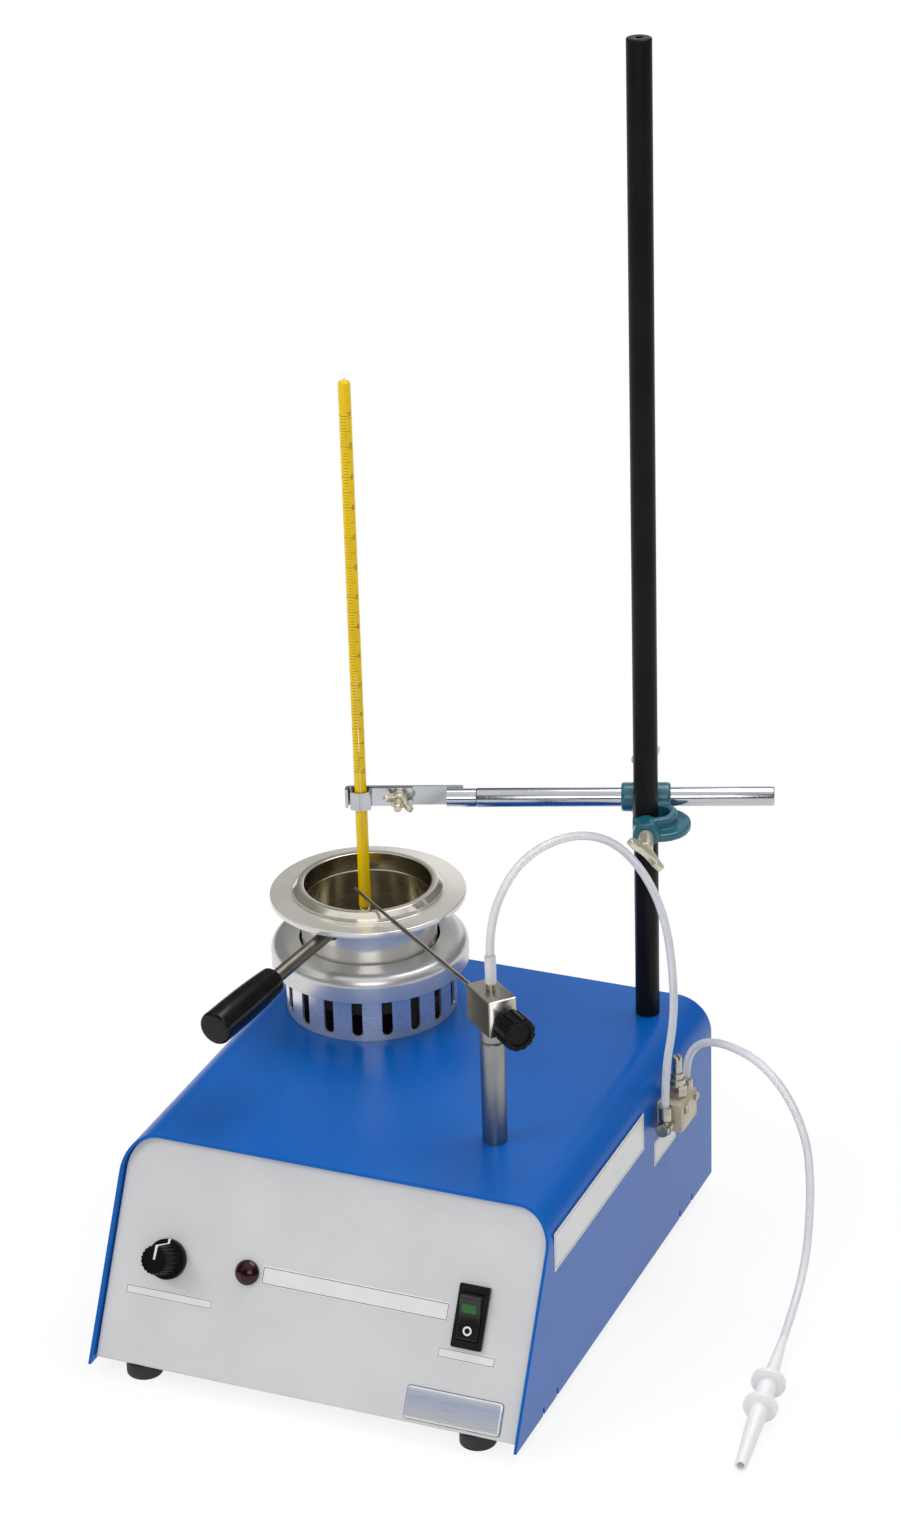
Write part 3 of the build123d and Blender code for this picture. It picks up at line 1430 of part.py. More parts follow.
hook_inner = stand_r + hook_gap
hook_outer = hook_inner + hook_wall
with BuildPart() as boss_head:
    with BuildSketch(across(-sleeve_length / 2, arm_offset, 0, arm_dir)):
        Circle(sleeve_r)
    extrude(amount=sleeve_length)
    sleeve_rims = boss_head.edges().filter_by(GeomType.CIRCLE)
    fillet(sleeve_rims, sleeve_edge_r)
    # upright hook around the rod, open to the left
    with BuildSketch(head_plane.offset(hook_bottom)):
        with Locations(((hook_right - hook_left) / 2, 0)):
            Rectangle(hook_right + hook_left, 2 * hook_outer)
        with Locations((hook_right, 0)):
            Circle(hook_outer)
    extrude(amount=hook_height)
    # bridge from the hook's back wall up to the sleeve
    with BuildSketch(head_plane.offset(hook_bottom)):
        with Locations((0, (hook_inner + arm_offset) / 2)):
            Rectangle(2 * hook_left, arm_offset - hook_inner)
    extrude(amount=-hook_bottom)
    # flared web on the right
    with BuildSketch(head_plane.offset(web_bottom)):
        with Locations((web_centre, 0)):
            Circle(web_r)
        with Locations((-web_r, 0)):
            Rectangle(2 * web_r, 3 * web_r, mode=Mode.SUBTRACT)
    extrude(amount=web_thickness)
    with BuildSketch(across(0, -hook_inner, rod_screw_drop, -back_dir)):
        Circle(screw_boss_r)
    extrude(amount=screw_boss_end - hook_inner)
    with BuildSketch(across(0, arm_offset, 0, Vector(0, 0, 1))):
        Circle(arm_screw_boss_r)
    extrude(amount=arm_screw_boss_height)
    # the rod's channel, the arm's bore and the two threaded holes
    with BuildSketch(head_plane.offset(web_bottom - web_thickness)):
        with Locations(((hook_right - web_r) / 2, 0)):
            Rectangle(hook_right + web_r, 2 * hook_inner)
        with Locations((hook_right, 0)):
            Circle(hook_inner)
    extrude(amount=-2 * web_bottom, mode=Mode.SUBTRACT)
    with BuildSketch(across(-sleeve_length, arm_offset, 0, arm_dir)):
        Circle(arm_r + arm_gap)
    extrude(amount=2 * sleeve_length, mode=Mode.SUBTRACT)
    with BuildSketch(across(0, 0, rod_screw_drop, -back_dir)):
        Circle(thumb_screw_r + thumb_thread_gap)
    extrude(amount=screw_boss_end, mode=Mode.SUBTRACT)
    with BuildSketch(across(0, arm_offset, 0, Vector(0, 0, 1))):
        Circle(thumb_screw_r + thumb_thread_gap)
    extrude(amount=arm_screw_boss_height, mode=Mode.SUBTRACT)
boss_head.part.label = "boss_head"
export_step(boss_head.part, "parts/boss_head.step")

rod_screw_base = across(0, -stand_r - thumb_tip_gap, rod_screw_drop, -back_dir)
rod_hub_start = screw_boss_end - stand_r
rod_screw = thumb_screw(rod_screw_base, rod_hub_start, rod_thumb_length, rod_thumb_span, rod_thumb_turn)
rod_screw.part.label = "rod_screw"
export_step(rod_screw.part, "parts/rod_screw.step")

arm_screw_base = across(0, arm_offset, arm_r + thumb_tip_gap, Vector(0, 0, 1))
arm_hub_start = arm_screw_boss_height - arm_r
arm_screw = thumb_screw(arm_screw_base, arm_hub_start, arm_thumb_length, arm_thumb_span, arm_thumb_turn)
arm_screw.part.label = "arm_screw"
export_step(arm_screw.part, "parts/arm_screw.step")

with BuildPart() as arm_rod:
    with BuildSketch(across(-arm_left, arm_offset, 0, arm_dir)):
        Circle(arm_r)
    extrude(amount=arm_left + arm_right)
    chamfer(arm_rod.edges().filter_by(GeomType.CIRCLE), arm_edge)
arm_rod.part.label = "arm_rod"
export_step(arm_rod.part, "parts/arm_rod.step")

# ---------------------------------------------------------------- thermometer clamp
# Places here are measured from the arm's axis: s along it, n behind it.
clamp_plane = Plane(origin=head_plane.from_local_coords((0, arm_offset, 0)), x_dir=arm_dir, z_dir=(0, 0, 1))
plate_front = thermometer_n + thermometer_r + grip_gap
plate_n = plate_front + clamp_plate_thickness / 2
jaw_n = plate_front - jaw_gap - jaw_thickness / 2
jaw_reach = thermometer_r + grip_gap + jaw_thickness / 2
jaw_side = jaw_reach + jaw_side_room
jaw_apex_n = thermometer_n - jaw_reach / cos(radians(jaw_facet_turn))
jaw_shoulder_n = jaw_apex_n + jaw_side * tan(radians(jaw_facet_turn))
tab_s = thermometer_s - jaw_side - jaw_thickness - jaw_gap - clamp_plate_thickness / 2
stem_end = -arm_left - clamp_stem_length

with BuildPart() as clamp_shank:
    with BuildSketch(across(stem_end, arm_offset, 0, arm_dir)):
        Circle(clamp_stem_r)
    extrude(amount=clamp_stem_length)
    with BuildSketch(clamp_plane.offset(-clamp_plate_height / 2)):
        with BuildLine():
            FilletPolyline(
                (stem_end + clamp_plate_overlap, plate_n),
                (tab_s, plate_n),
                (tab_s, plate_n - clamp_tab),
                radius=clamp_tab_r,
            )
        trace(line_width=clamp_plate_thickness)
    extrude(amount=clamp_plate_height)
    with BuildSketch(across(bolt_s, arm_offset + plate_n, 0, back_dir)):
        Circle(bolt_r + hole_clearance)
    extrude(amount=clamp_plate_thickness, both=True, mode=Mode.SUBTRACT)
clamp_shank.part.label = "clamp_shank"
export_step(clamp_shank.part, "parts/clamp_shank.step")

with BuildPart() as clamp_bolt:
    bolt_seat = across(bolt_s, arm_offset + plate_front + clamp_plate_thickness, 0, back_dir)
    with BuildSketch(bolt_seat):
        RegularPolygon(bolt_head_r, 6)
    extrude(amount=bolt_head_height)
    with BuildSketch(bolt_seat):
        Circle(bolt_r)
    extrude(amount=-bolt_reach)
    bolt_rims = clamp_bolt.edges().filter_by(GeomType.CIRCLE)
    fillet(bolt_rims.sort_by(Axis(bolt_seat.origin, back_dir))[0], bolt_r / 2)
clamp_bolt.part.label = "clamp_bolt"
export_step(clamp_bolt.part, "parts/clamp_bolt.step")

with BuildPart() as clamp_jaw:
    with BuildSketch(clamp_plane.offset(-jaw_height / 2)):
        with BuildLine():
            FilletPolyline(
                (thermometer_s + jaw_length, jaw_n),
                (thermometer_s + jaw_side, jaw_n),
                (thermometer_s + jaw_side, jaw_shoulder_n),
                (thermometer_s, jaw_apex_n),
                (thermometer_s - jaw_side, jaw_shoulder_n),
                (thermometer_s - jaw_side, jaw_n),
                radius=jaw_bend_r,
            )
        trace(line_width=jaw_thickness)
    extrude(amount=jaw_height)
    with BuildSketch(across(bolt_s, arm_offset + jaw_n, 0, back_dir)):
        Circle(bolt_r + bolt_gap)
    extrude(amount=jaw_thickness, both=True, mode=Mode.SUBTRACT)
clamp_jaw.part.label = "clamp_jaw"
export_step(clamp_jaw.part, "parts/clamp_jaw.step")

# Wing nut on the clamp bolt.
nut_seat = across(bolt_s, arm_offset + jaw_n - jaw_thickness / 2 - wing_nut_gap, 0, -back_dir)
nut_wing = turned(nut_seat, wing_nut_turn)
nut_wing_face = Plane(origin=nut_wing.origin, x_dir=nut_wing.x_dir, z_dir=-nut_wing.y_dir)
wing_tip_x = wing_nut_span / 2 - wing_nut_tip_r
wing_tip_y = wing_nut_wing - wing_nut_tip_r
with BuildPart() as wing_nut:
    with BuildSketch(nut_seat):
        Circle(wing_nut_r)
    extrude(amount=wing_nut_height)
    for side in (-1, 1):
        with BuildSketch(nut_wing_face):
            with Locations((side * wing_tip_x, wing_tip_y)):
                Circle(wing_nut_tip_r)
            with Locations((side * wing_nut_r * 0.8, wing_nut_height / 2)):
                Circle(wing_nut_tip_r)
            make_hull()
        extrude(amount=wing_nut_wing_thickness / 2, both=True)
    with BuildSketch(nut_seat):
        Circle(bolt_r + bolt_gap)
    extrude(amount=wing_nut_wing, mode=Mode.SUBTRACT)
wing_nut.part.label = "wing_nut"
export_step(wing_nut.part, "parts/wing_nut.step")

# ---------------------------------------------------------------- thermometer
bulb_plane = Plane(
    origin=clamp_plane.from_local_coords((thermometer_s, thermometer_n, thermometer_bottom - arm_height)),
    x_dir=(1, 0, 0),
    z_dir=(0, 0, 1),
)
with BuildPart() as thermometer_stem:
    with BuildSketch(bulb_plane.offset(bulb_length)):
        Circle(thermometer_r)
    extrude(amount=stem_length)
thermometer_stem.part.label = "thermometer_stem"
export_step(thermometer_stem.part, "parts/thermometer_stem.step")

# Clear glass ends: the bulb below and the small loop on top.
loop_plane = Plane(
    origin=bulb_plane.offset(bulb_length + stem_length + loop_r + loop_wire_r).origin,
    x_dir=(1, 0, 0),
    z_dir=(0, -1, 0),
)
with BuildPart() as thermometer_glass:
    with BuildSketch(bulb_plane):
        Circle(bulb_r)
    extrude(amount=bulb_length)
    fillet(thermometer_glass.edges().group_by(Axis.Z)[0], bulb_r * 0.8)
    with Locations(loop_plane):
        Torus(loop_r, loop_wire_r)
thermometer_glass.part.label = "thermometer_glass"
export_step(thermometer_glass.part, "parts/thermometer_glass.step")
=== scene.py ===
import json
import math

import bmesh
import bpy
import numpy as np
from mathutils import Matrix, Vector

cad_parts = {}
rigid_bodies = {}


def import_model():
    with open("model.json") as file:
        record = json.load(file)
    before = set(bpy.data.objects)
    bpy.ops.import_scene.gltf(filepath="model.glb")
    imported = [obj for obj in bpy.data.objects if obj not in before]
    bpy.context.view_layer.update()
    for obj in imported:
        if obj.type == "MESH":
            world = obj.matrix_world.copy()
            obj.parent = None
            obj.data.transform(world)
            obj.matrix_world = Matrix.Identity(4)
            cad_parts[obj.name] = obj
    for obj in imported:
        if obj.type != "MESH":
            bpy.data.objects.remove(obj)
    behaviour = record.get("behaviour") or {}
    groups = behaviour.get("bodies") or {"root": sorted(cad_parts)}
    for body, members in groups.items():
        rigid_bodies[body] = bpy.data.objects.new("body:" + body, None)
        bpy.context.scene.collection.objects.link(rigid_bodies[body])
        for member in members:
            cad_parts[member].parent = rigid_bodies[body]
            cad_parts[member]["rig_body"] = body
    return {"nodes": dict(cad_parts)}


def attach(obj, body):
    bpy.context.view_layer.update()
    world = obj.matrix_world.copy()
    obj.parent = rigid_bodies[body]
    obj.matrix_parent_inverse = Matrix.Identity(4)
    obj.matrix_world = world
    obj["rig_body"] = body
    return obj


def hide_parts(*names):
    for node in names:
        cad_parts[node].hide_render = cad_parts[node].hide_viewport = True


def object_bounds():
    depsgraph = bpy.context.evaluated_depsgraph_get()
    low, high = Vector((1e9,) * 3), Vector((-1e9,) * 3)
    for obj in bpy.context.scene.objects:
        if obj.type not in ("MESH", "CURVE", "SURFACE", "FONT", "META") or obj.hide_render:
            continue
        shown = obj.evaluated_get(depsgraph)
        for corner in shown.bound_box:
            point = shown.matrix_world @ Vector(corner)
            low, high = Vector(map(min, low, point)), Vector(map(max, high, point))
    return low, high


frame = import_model()
cad_low, cad_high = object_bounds()
nodes = frame["nodes"]

# -------- camera
# It stands in front of the tester, a little to its right, and looks down on it.
# The place and the turn come from the straight edges of the case in the photograph.
scene = bpy.context.scene
camera_place = Vector((0.7271, -1.6195, 1.0969))
camera_azimuth = math.radians(23.3015)
camera_elevation = math.radians(25.0125)
camera_roll = math.radians(-1.7552)
long_side_mm = 36.0
photo_long_side = 1536
focal_pixels = 4192.16

camera_back = Vector(
    (
        math.sin(camera_azimuth) * math.cos(camera_elevation),
        -math.cos(camera_azimuth) * math.cos(camera_elevation),
        math.sin(camera_elevation),
    )
)
level_right = Vector((0, 0, 1)).cross(camera_back).normalized()
level_up = camera_back.cross(level_right)
camera_right = level_right * math.cos(camera_roll) + level_up * math.sin(camera_roll)
camera_up = level_up * math.cos(camera_roll) - level_right * math.sin(camera_roll)
camera_turn = Matrix((camera_right, camera_up, camera_back)).transposed()


def put(name, data):
    """A new object in the scene, with that data."""
    made = bpy.data.objects.new(name, data)
    scene.collection.objects.link(made)
    return made


camera = put("camera", bpy.data.cameras.new("camera"))
camera.data.sensor_width = long_side_mm
camera.data.lens = focal_pixels / photo_long_side * long_side_mm
camera.matrix_world = Matrix.Translation(camera_place) @ camera_turn.to_4x4()
scene.camera = camera
scene.view_settings.view_transform = "Standard"

# -------- studio
# A white sweep under soft boxes. The floor shows white to the camera and in metal,
# keeps the tester's shadow, and gives ordinary paper-white light to everything else.


def new_material(name):
    """A new node material and its Principled shader."""
    made = bpy.data.materials.new(name)
    made.use_nodes = True
    return made, made.node_tree.nodes["Principled BSDF"]


def join(material, node, **sockets):
    """Gives the sockets of a shader node a value each, or a link from a socket or a node's first output.

    A socket goes by its name, with an underscore for each space, or by its number after an underscore.
    """
    for key, value in sockets.items():
        socket = node.inputs[int(key[1:]) if key[0] == "_" else key.replace("_", " ")]
        source = value.outputs[0] if isinstance(value, bpy.types.Node) else value
        if isinstance(source, bpy.types.NodeSocket):
            material.node_tree.links.new(source, socket)
        else:
            socket.default_value = value


def add_node(material, kind, settings=None, **sockets):
    """A new shader node with its settings and its sockets."""
    node = material.node_tree.nodes.new("ShaderNode" + kind)
    for key, value in (settings or {}).items():
        setattr(node, key, value)
    join(material, node, **sockets)
    return node


def object_place(material):
    """The place on a piece, in metres, from the origin that every piece shares."""
    return add_node(material, "TexCoord").outputs["Object"]


def show(material, surface, unused):
    """Makes a shader node the material's surface, in place of its Principled shader."""
    join(material, material.node_tree.nodes["Material Output"], Surface=surface)
    material.node_tree.nodes.remove(unused)


def seen_ray(material):
    """1 for camera, glossy and transmission rays, which are the ones that show a background."""
    path = add_node(material, "LightPath")
    seen, mirrored, through = (path.outputs["Is %s Ray" % kind] for kind in ("Camera", "Glossy", "Transmission"))
    first = add_node(material, "Math", {"operation": "MAXIMUM"}, _0=seen, _1=mirrored)
    return add_node(material, "Math", {"operation": "MAXIMUM"}, _0=first, _1=through)


half_floor = 7.0
floor_paper = 0.8
floor_glow = 0.82
floor_shade = (0.2, 0.2, 0.205, 1)
shadow_reach, white_reach = 0.32, 0.75
floor_mesh = bpy.data.meshes.new("floor")
floor_corners = [(x * half_floor, y * half_floor, cad_low.z) for x, y in ((-1, -1), (1, -1), (1, 1), (-1, 1))]
floor_mesh.from_pydata(floor_corners, [], [(0, 1, 2, 3)])
floor = put("floor", floor_mesh)
floor_finish, floor_shader = new_material("white_sweep")
paper = add_node(floor_finish, "BsdfDiffuse", Color=(floor_paper, floor_paper, floor_paper, 1))
shade = add_node(floor_finish, "BsdfDiffuse", Color=floor_shade)
glow = add_node(floor_finish, "Emission", Strength=floor_glow)
shown = add_node(floor_finish, "AddShader", _0=shade, _1=glow)
# Away from the tester the sweep is plain white, so its far end has no grey in it.
bare_white = add_node(floor_finish, "Emission", Strength=1.0)
floor_reach = add_node(floor_finish, "VectorMath", {"operation": "LENGTH"}, _0=object_place(floor_finish))
far_share = add_node(
    floor_finish, "MapRange", {"interpolation_type": "SMOOTHSTEP"},
    Value=floor_reach.outputs["Value"], From_Min=shadow_reach, From_Max=white_reach,
)
seen_floor = add_node(floor_finish, "MixShader", _0=far_share, _1=shown, _2=bare_white)
sweep = add_node(floor_finish, "MixShader", _0=seen_ray(floor_finish), _1=paper, _2=seen_floor)
show(floor_finish, sweep, floor_shader)
floor_mesh.materials.append(floor_finish)

ambient_light = 0.42
world = bpy.data.worlds.new("studio")
scene.world = world
world.use_nodes = True
backdrop = world.node_tree.nodes["Background"]
ambient = add_node(world, "MapRange", Value=seen_ray(world), To_Min=ambient_light, To_Max=1.0)
join(world, backdrop, Color=(1, 1, 1, 1), Strength=ambient)

aim = Vector((0.0, 0.0, 0.15))


def soft_box(name, place, width, height, power):
    """A rectangular area lamp that looks at the tester."""
    lamp = bpy.data.lights.new(name, "AREA")
    lamp.shape = "RECTANGLE"
    lamp.size, lamp.size_y = width, height
    lamp.energy = power
    box = put(name, lamp)
    box.location = place
    box.rotation_mode = "QUATERNION"
    box.rotation_quaternion = (aim - Vector(place)).to_track_quat("-Z", "Y")
    return box


# The studio walls below already give metal its picture of the key lamp.
soft_box("key_left", (-1.5, -1.3, 1.9), 1.2, 1.2, 17.0).visible_glossy = False
soft_box("top", (0.4, 0.85, 2.4), 1.6, 1.2, 27.0)
soft_box("front", (0.9, -2.2, 1.3), 1.4, 0.9, 13.0)


def grid_faces(rows, columns, close_rows=False, close_columns=False):
    """The four corners of every cell of a grid of points, with wrapped seams where asked."""
    row = np.arange(rows if close_rows else rows - 1)
    column = np.arange(columns if close_columns else columns - 1)
    i, j = (a.ravel() for a in np.meshgrid(row, column, indexing="ij"))
    this, after, next_j = i * columns, (i + 1) % rows * columns, (j + 1) % columns
    return np.stack([this + j, after + j, after + next_j, this + next_j], 1)


def circle(steps):
    """Angles evenly spread round a full turn."""
    return np.linspace(0, 2 * np.pi, steps, endpoint=False)


# The studio round the tester, which only polished pieces mirror: dim near the floor, brighter overhead,
# with tall lit boxes at the left, the right and behind. Each box fades out over a few degrees.
wall_radius = 5.0
wall_low, wall_high = math.radians(1), math.radians(78)
turn_steps, rise_steps = 180, 60
# Each box: the turn of its middle, its lowest and highest rise and its half width in degrees, and its light.
wall_boxes = ((221, 25, 62, 12, 0.9), (20, 14, 52, 8, 0.95), (292, 34, 66, 20, 0.9), (99, 4, 30, 15, 1.0))
box_fade = 4
turn, rise = np.meshgrid(circle(turn_steps), np.linspace(wall_low, wall_high, rise_steps), indexing="ij")
wall_points = wall_radius * np.stack([np.cos(rise) * np.cos(turn), np.cos(rise) * np.sin(turn), np.sin(rise)], -1)
turn, rise = np.degrees(turn), np.degrees(rise)


def ease(value, low, high):
    """0 below low, 1 above high, and a smooth S between them."""
    share = np.clip((value - low) / (high - low), 0, 1)
    return share * share * (3 - 2 * share)


wall_glow = 0.06 + 0.05 * ease(rise, 5, 28) + 0.9 * ease(rise, 36, 66)
for box_turn, box_low, box_high, box_half, box_light in wall_boxes:
    apart = np.abs((turn - box_turn + 180) % 360 - 180)
    inside = 1 - ease(apart, box_half - box_fade, box_half + box_fade)
    inside = inside * ease(rise, box_low - box_fade, box_low + box_fade)
    inside = inside * (1 - ease(rise, box_high - box_fade, box_high + box_fade))
    wall_glow = np.maximum(wall_glow, box_light * inside)
walls_mesh = bpy.data.meshes.new("studio_walls")
walls_mesh.from_pydata(
    wall_points.reshape(-1, 3).tolist(), [], grid_faces(turn_steps, rise_steps, close_rows=True).tolist()
)
wall_light = walls_mesh.attributes.new("wall_light", "FLOAT", "POINT")
wall_light.data.foreach_set("value", wall_glow.ravel())
walls = put("studio_walls", walls_mesh)
walls.visible_camera = walls.visible_diffuse = walls.visible_transmission = walls.visible_shadow = False
wall_finish, wall_shader = new_material("studio_walls")
wall_level = add_node(wall_finish, "Attribute", {"attribute_name": "wall_light"})
wall_shine = add_node(wall_finish, "Emission", Strength=wall_level.outputs["Fac"])
show(wall_finish, wall_shine, wall_shader)
walls_mesh.materials.append(wall_finish)

# -------- gas hoses
# Two lengths of clear silicone hose, 4 mm thick. One arches from the valve to the burner,
# the other hangs from the valve to the connector that lies on the bench.
hose_thickness = 0.004
hose_ring = 8
burner_route = [
    (0.06, -0.031, 0.1965),
    (0.06, -0.031, 0.2075),
    (0.063, -0.0275, 0.2245),
    (0.0693, -0.0182, 0.239),
    (0.0793, -0.0048, 0.246),
    (0.0907, 0.0119, 0.2448),
    (0.101, 0.0282, 0.234),
    (0.1102, 0.0413, 0.2134),
    (0.1164, 0.0503, 0.1875),
    (0.1189, 0.0544, 0.1583),
    (0.1193, 0.0547, 0.13),
    (0.116, 0.0505, 0.1035),
    (0.116, 0.0505, 0.0834),
]
supply_route = [
    (0.116, 0.0808, 0.0834),
    (0.116, 0.0808, 0.0925),
    (0.1215, 0.0786, 0.104),
    (0.1335, 0.0705, 0.1125),
    (0.1475, 0.0605, 0.117),
    (0.1642, 0.051, 0.117),
    (0.181, 0.043, 0.1065),
    (0.192, 0.039, 0.086),
    (0.1942, 0.0382, 0.0625),
    (0.1934, 0.0398, 0.044),
    (0.193, 0.0365, 0.024),
    (0.1948, 0.02, 0.0144),
    (0.1972, -0.0038, 0.0092),
    (0.19835, -0.01468, 0.00773),
]


def hose_curve(name, route):
    """A round hose along one smooth spline whose control points are the route's."""
    curve = bpy.data.curves.new(name, "CURVE")
    curve.dimensions = "3D"
    curve.bevel_depth = hose_thickness / 2
    curve.bevel_resolution = hose_ring
    curve.use_fill_caps = True
    spline = curve.splines.new("NURBS")
    spline.points.add(len(route) - 1)
    for point, place in zip(spline.points, route):
        point.co = (*place, 1)
    spline.order_u = 3
    spline.use_endpoint_u = True
    spline.resolution_u = 12
    return put(name, curve)


def ramp(material, share, stops):
    """A colour that runs through the stops as the share rises, each a position and a colour or a grey."""
    node = add_node(material, "ValToRGB", Fac=share)
    for position, _ in stops[1:-1]:
        node.color_ramp.elements.new(position)
    for stop, (position, colour) in zip(node.color_ramp.elements, stops):
        stop.position = position
        stop.color = (*np.broadcast_to(colour, 3), 1)
    return node


silicone, silicone_shader = new_material("clear_silicone")
# Milky body, a little denser towards the edges where the wall is seen end on.
hose_cloud = add_node(silicone, "TexNoise", Vector=object_place(silicone), Scale=160.0, Detail=3.0)
hose_facing = add_node(silicone, "LayerWeight", Blend=0.35)
hose_mix = add_node(
    silicone, "Math", {"operation": "MULTIPLY_ADD"},
    _0=hose_cloud, _1=0.2, _2=hose_facing.outputs["Facing"],
)
hose_tone = ramp(silicone, hose_mix, ((0.0, (0.96, 0.97, 0.98)), (1.0, (0.74, 0.76, 0.78))))
join(
    silicone, silicone_shader, Base_Color=hose_tone, Roughness=0.28, IOR=1.41, Transmission_Weight=0.42,
    Coat_Weight=0.15, Coat_Roughness=0.08,
)

burner_hose = hose_curve("burner_hose_silicone", burner_route)
supply_hose = hose_curve("supply_hose_silicone", supply_route)
for hose, cad_hose in ((burner_hose, "burner_hose"), (supply_hose, "supply_hose")):
    hose.data.materials.append(silicone)
    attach(hose, "root")
    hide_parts(cad_hose)

# -------- case
# A folded steel shell in blue powder coat over a light grey folded tray that carries the slanted
# front panel. Both have the fine orange peel of powder coat and eased folds.
mm = 0.001


def finish(name, tones, gloss, cloud=25, grain=900, relief=0.0, lay=None, **sockets):
    """A finish whose tone drifts slowly between two colours, with its gloss and a fine raised grain over it.

    A tone of one number is a grey. lay gives the coordinates that the grain follows, where it has a direction.
    """
    made, shader = new_material(name)
    place = object_place(made)
    drift = add_node(made, "TexNoise", Vector=place, Scale=cloud, Detail=3.0)
    fine = add_node(made, "TexNoise", Vector=lay(made) if lay else place, Scale=grain, Detail=3.0)
    rough = add_node(made, "MapRange", Value=fine, From_Min=0.3, From_Max=0.7, To_Min=gloss[0], To_Max=gloss[1])
    if relief:
        sockets["Normal"] = add_node(made, "Bump", Height=fine, Distance=relief, Strength=1.0)
    join(made, shader, Base_Color=ramp(made, drift, tuple(zip((0.34, 0.66), tones))), Roughness=rough, **sockets)
    return made


weld_gap = 1e-6
flat_turn, sharp_turn = math.radians(0.6), math.radians(30)


def merged_copy(node, name):
    """A copy of a CAD piece as one joined skin, with its flat faces whole and its shading its own."""
    skin = bmesh.new()
    skin.from_mesh(nodes[node].data)
    bmesh.ops.remove_doubles(skin, verts=skin.verts, dist=weld_gap)
    bmesh.ops.dissolve_limit(
        skin, angle_limit=flat_turn, use_dissolve_boundaries=False, verts=skin.verts, edges=skin.edges
    )
    mesh = bpy.data.meshes.new(name)
    mesh.from_pydata(
        [tuple(v.co) for v in skin.verts], [], [[v.index for v in face.verts] for face in skin.faces]
    )
    skin.free()
    return put(name, mesh)


def dress(piece, node, coat):
    """Gives a piece its finish and puts it in the place of a CAD node, on that node's body."""
    if not piece.data.materials:
        piece.data.materials.append(coat)
    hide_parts(node)
    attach(piece, nodes[node]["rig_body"])
    return piece


def softened(node, edge, coat, name=None):
    """A copy of a CAD piece whose sharp edges are eased by a small round of that size in millimetres."""
    copy = merged_copy(node, name or "eased_" + node)
    copy.data.shade_smooth()
    bevel = copy.modifiers.new("eased_edges", "BEVEL")
    bevel.width = edge * mm
    bevel.segments = 2
    bevel.limit_method = "ANGLE"
    bevel.angle_limit = sharp_turn
    bevel.use_clamp_overlap = True
    copy.modifiers.new("even_shading", "WEIGHTED_NORMAL").keep_sharp = True
    return dress(copy, node, coat)


blue_coat = finish(
    "blue_powder_coat", ((0.0, 0.11, 0.475), (0.0, 0.124, 0.515)), (0.27, 0.36), cloud=14, grain=750,
    relief=2.2e-5, Specular_IOR_Level=0.32,
)
grey_coat = finish(
    "light_grey_powder_coat", ((0.66, 0.665, 0.675), (0.7, 0.705, 0.71)), (0.38, 0.5), cloud=30, grain=1100,
    relief=1.6e-5, Specular_IOR_Level=0.35,
)
# Painted shade: round the heater, under its guard, the coat is painted near black for the shade that falls there.
guard_shade_centre = (-0.0505, 0.0774, 0.0985)
shade_inner_r, shade_outer_r = 0.039, 0.045
guard_shade_away = add_node(
    blue_coat, "VectorMath", {"operation": "DISTANCE"}, _0=object_place(blue_coat), _1=guard_shade_centre
)
guard_shade_share = add_node(
    blue_coat, "MapRange", Value=guard_shade_away.outputs["Value"], From_Min=shade_inner_r, From_Max=shade_outer_r
)
blue_base = blue_coat.node_tree.nodes["Principled BSDF"].inputs["Base Color"]
guard_shade_mix = add_node(
    blue_coat, "Mix", {"data_type": "RGBA"}, _0=guard_shade_share, _6=(0.01, 0.01, 0.012, 1),
    _7=blue_base.links[0].from_socket,
)
blue_coat.node_tree.links.new(guard_shade_mix.outputs[2], blue_base)
softened("blue_shell", 0.35, blue_coat, "folded_blue_shell")
softened("grey_tray", 0.3, grey_coat, "folded_grey_tray")

# -------- label strips and plate
# Bare white film labels with a thin dark line set in from their edge, stuck on the panel and on the
# right wall, and a small silvered plate under a domed clear resin at the panel's lower right.
panel_slope = math.atan(54 / 100)
panel_right = np.array([1.0, 0, 0])
panel_up = np.array([0, math.sin(panel_slope), math.cos(panel_slope)])
panel_out = np.array([0, -math.cos(panel_slope), math.sin(panel_slope)])
panel_foot = np.array([0, -135, -1.5]) - 3.0 * panel_out


def panel_point(x, s, out=0.0):
    """A place on the slanted panel: x across, s up the slope from its foot, out from its face."""
    return panel_foot + x * panel_right + s * panel_up + out * panel_out


def new_piece(name, points, faces, sharp=35, merge=2e-6):
    """A mesh piece from points in millimetres: doubles merged, faces turned outwards, shaded smooth."""
    mesh = bpy.data.meshes.new(name)
    mesh.from_pydata((np.reshape(points, (-1, 3)) * mm).tolist(), [], [list(face) for face in faces])
    skin = bmesh.new()
    skin.from_mesh(mesh)
    if merge:
        bmesh.ops.remove_doubles(skin, verts=skin.verts, dist=merge)
    bmesh.ops.recalc_face_normals(skin, faces=skin.faces)
    skin.to_mesh(mesh)
    skin.free()
    mesh.shade_smooth()
    mesh.set_sharp_from_angle(angle=math.radians(sharp))
    return put(name, mesh)


def give_wall(piece, thickness):
    """Makes an open sheet a solid film, all outside the sheet."""
    wall = piece.modifiers.new("film", "SOLIDIFY")
    wall.thickness = thickness * mm
    wall.offset = 1
    return piece


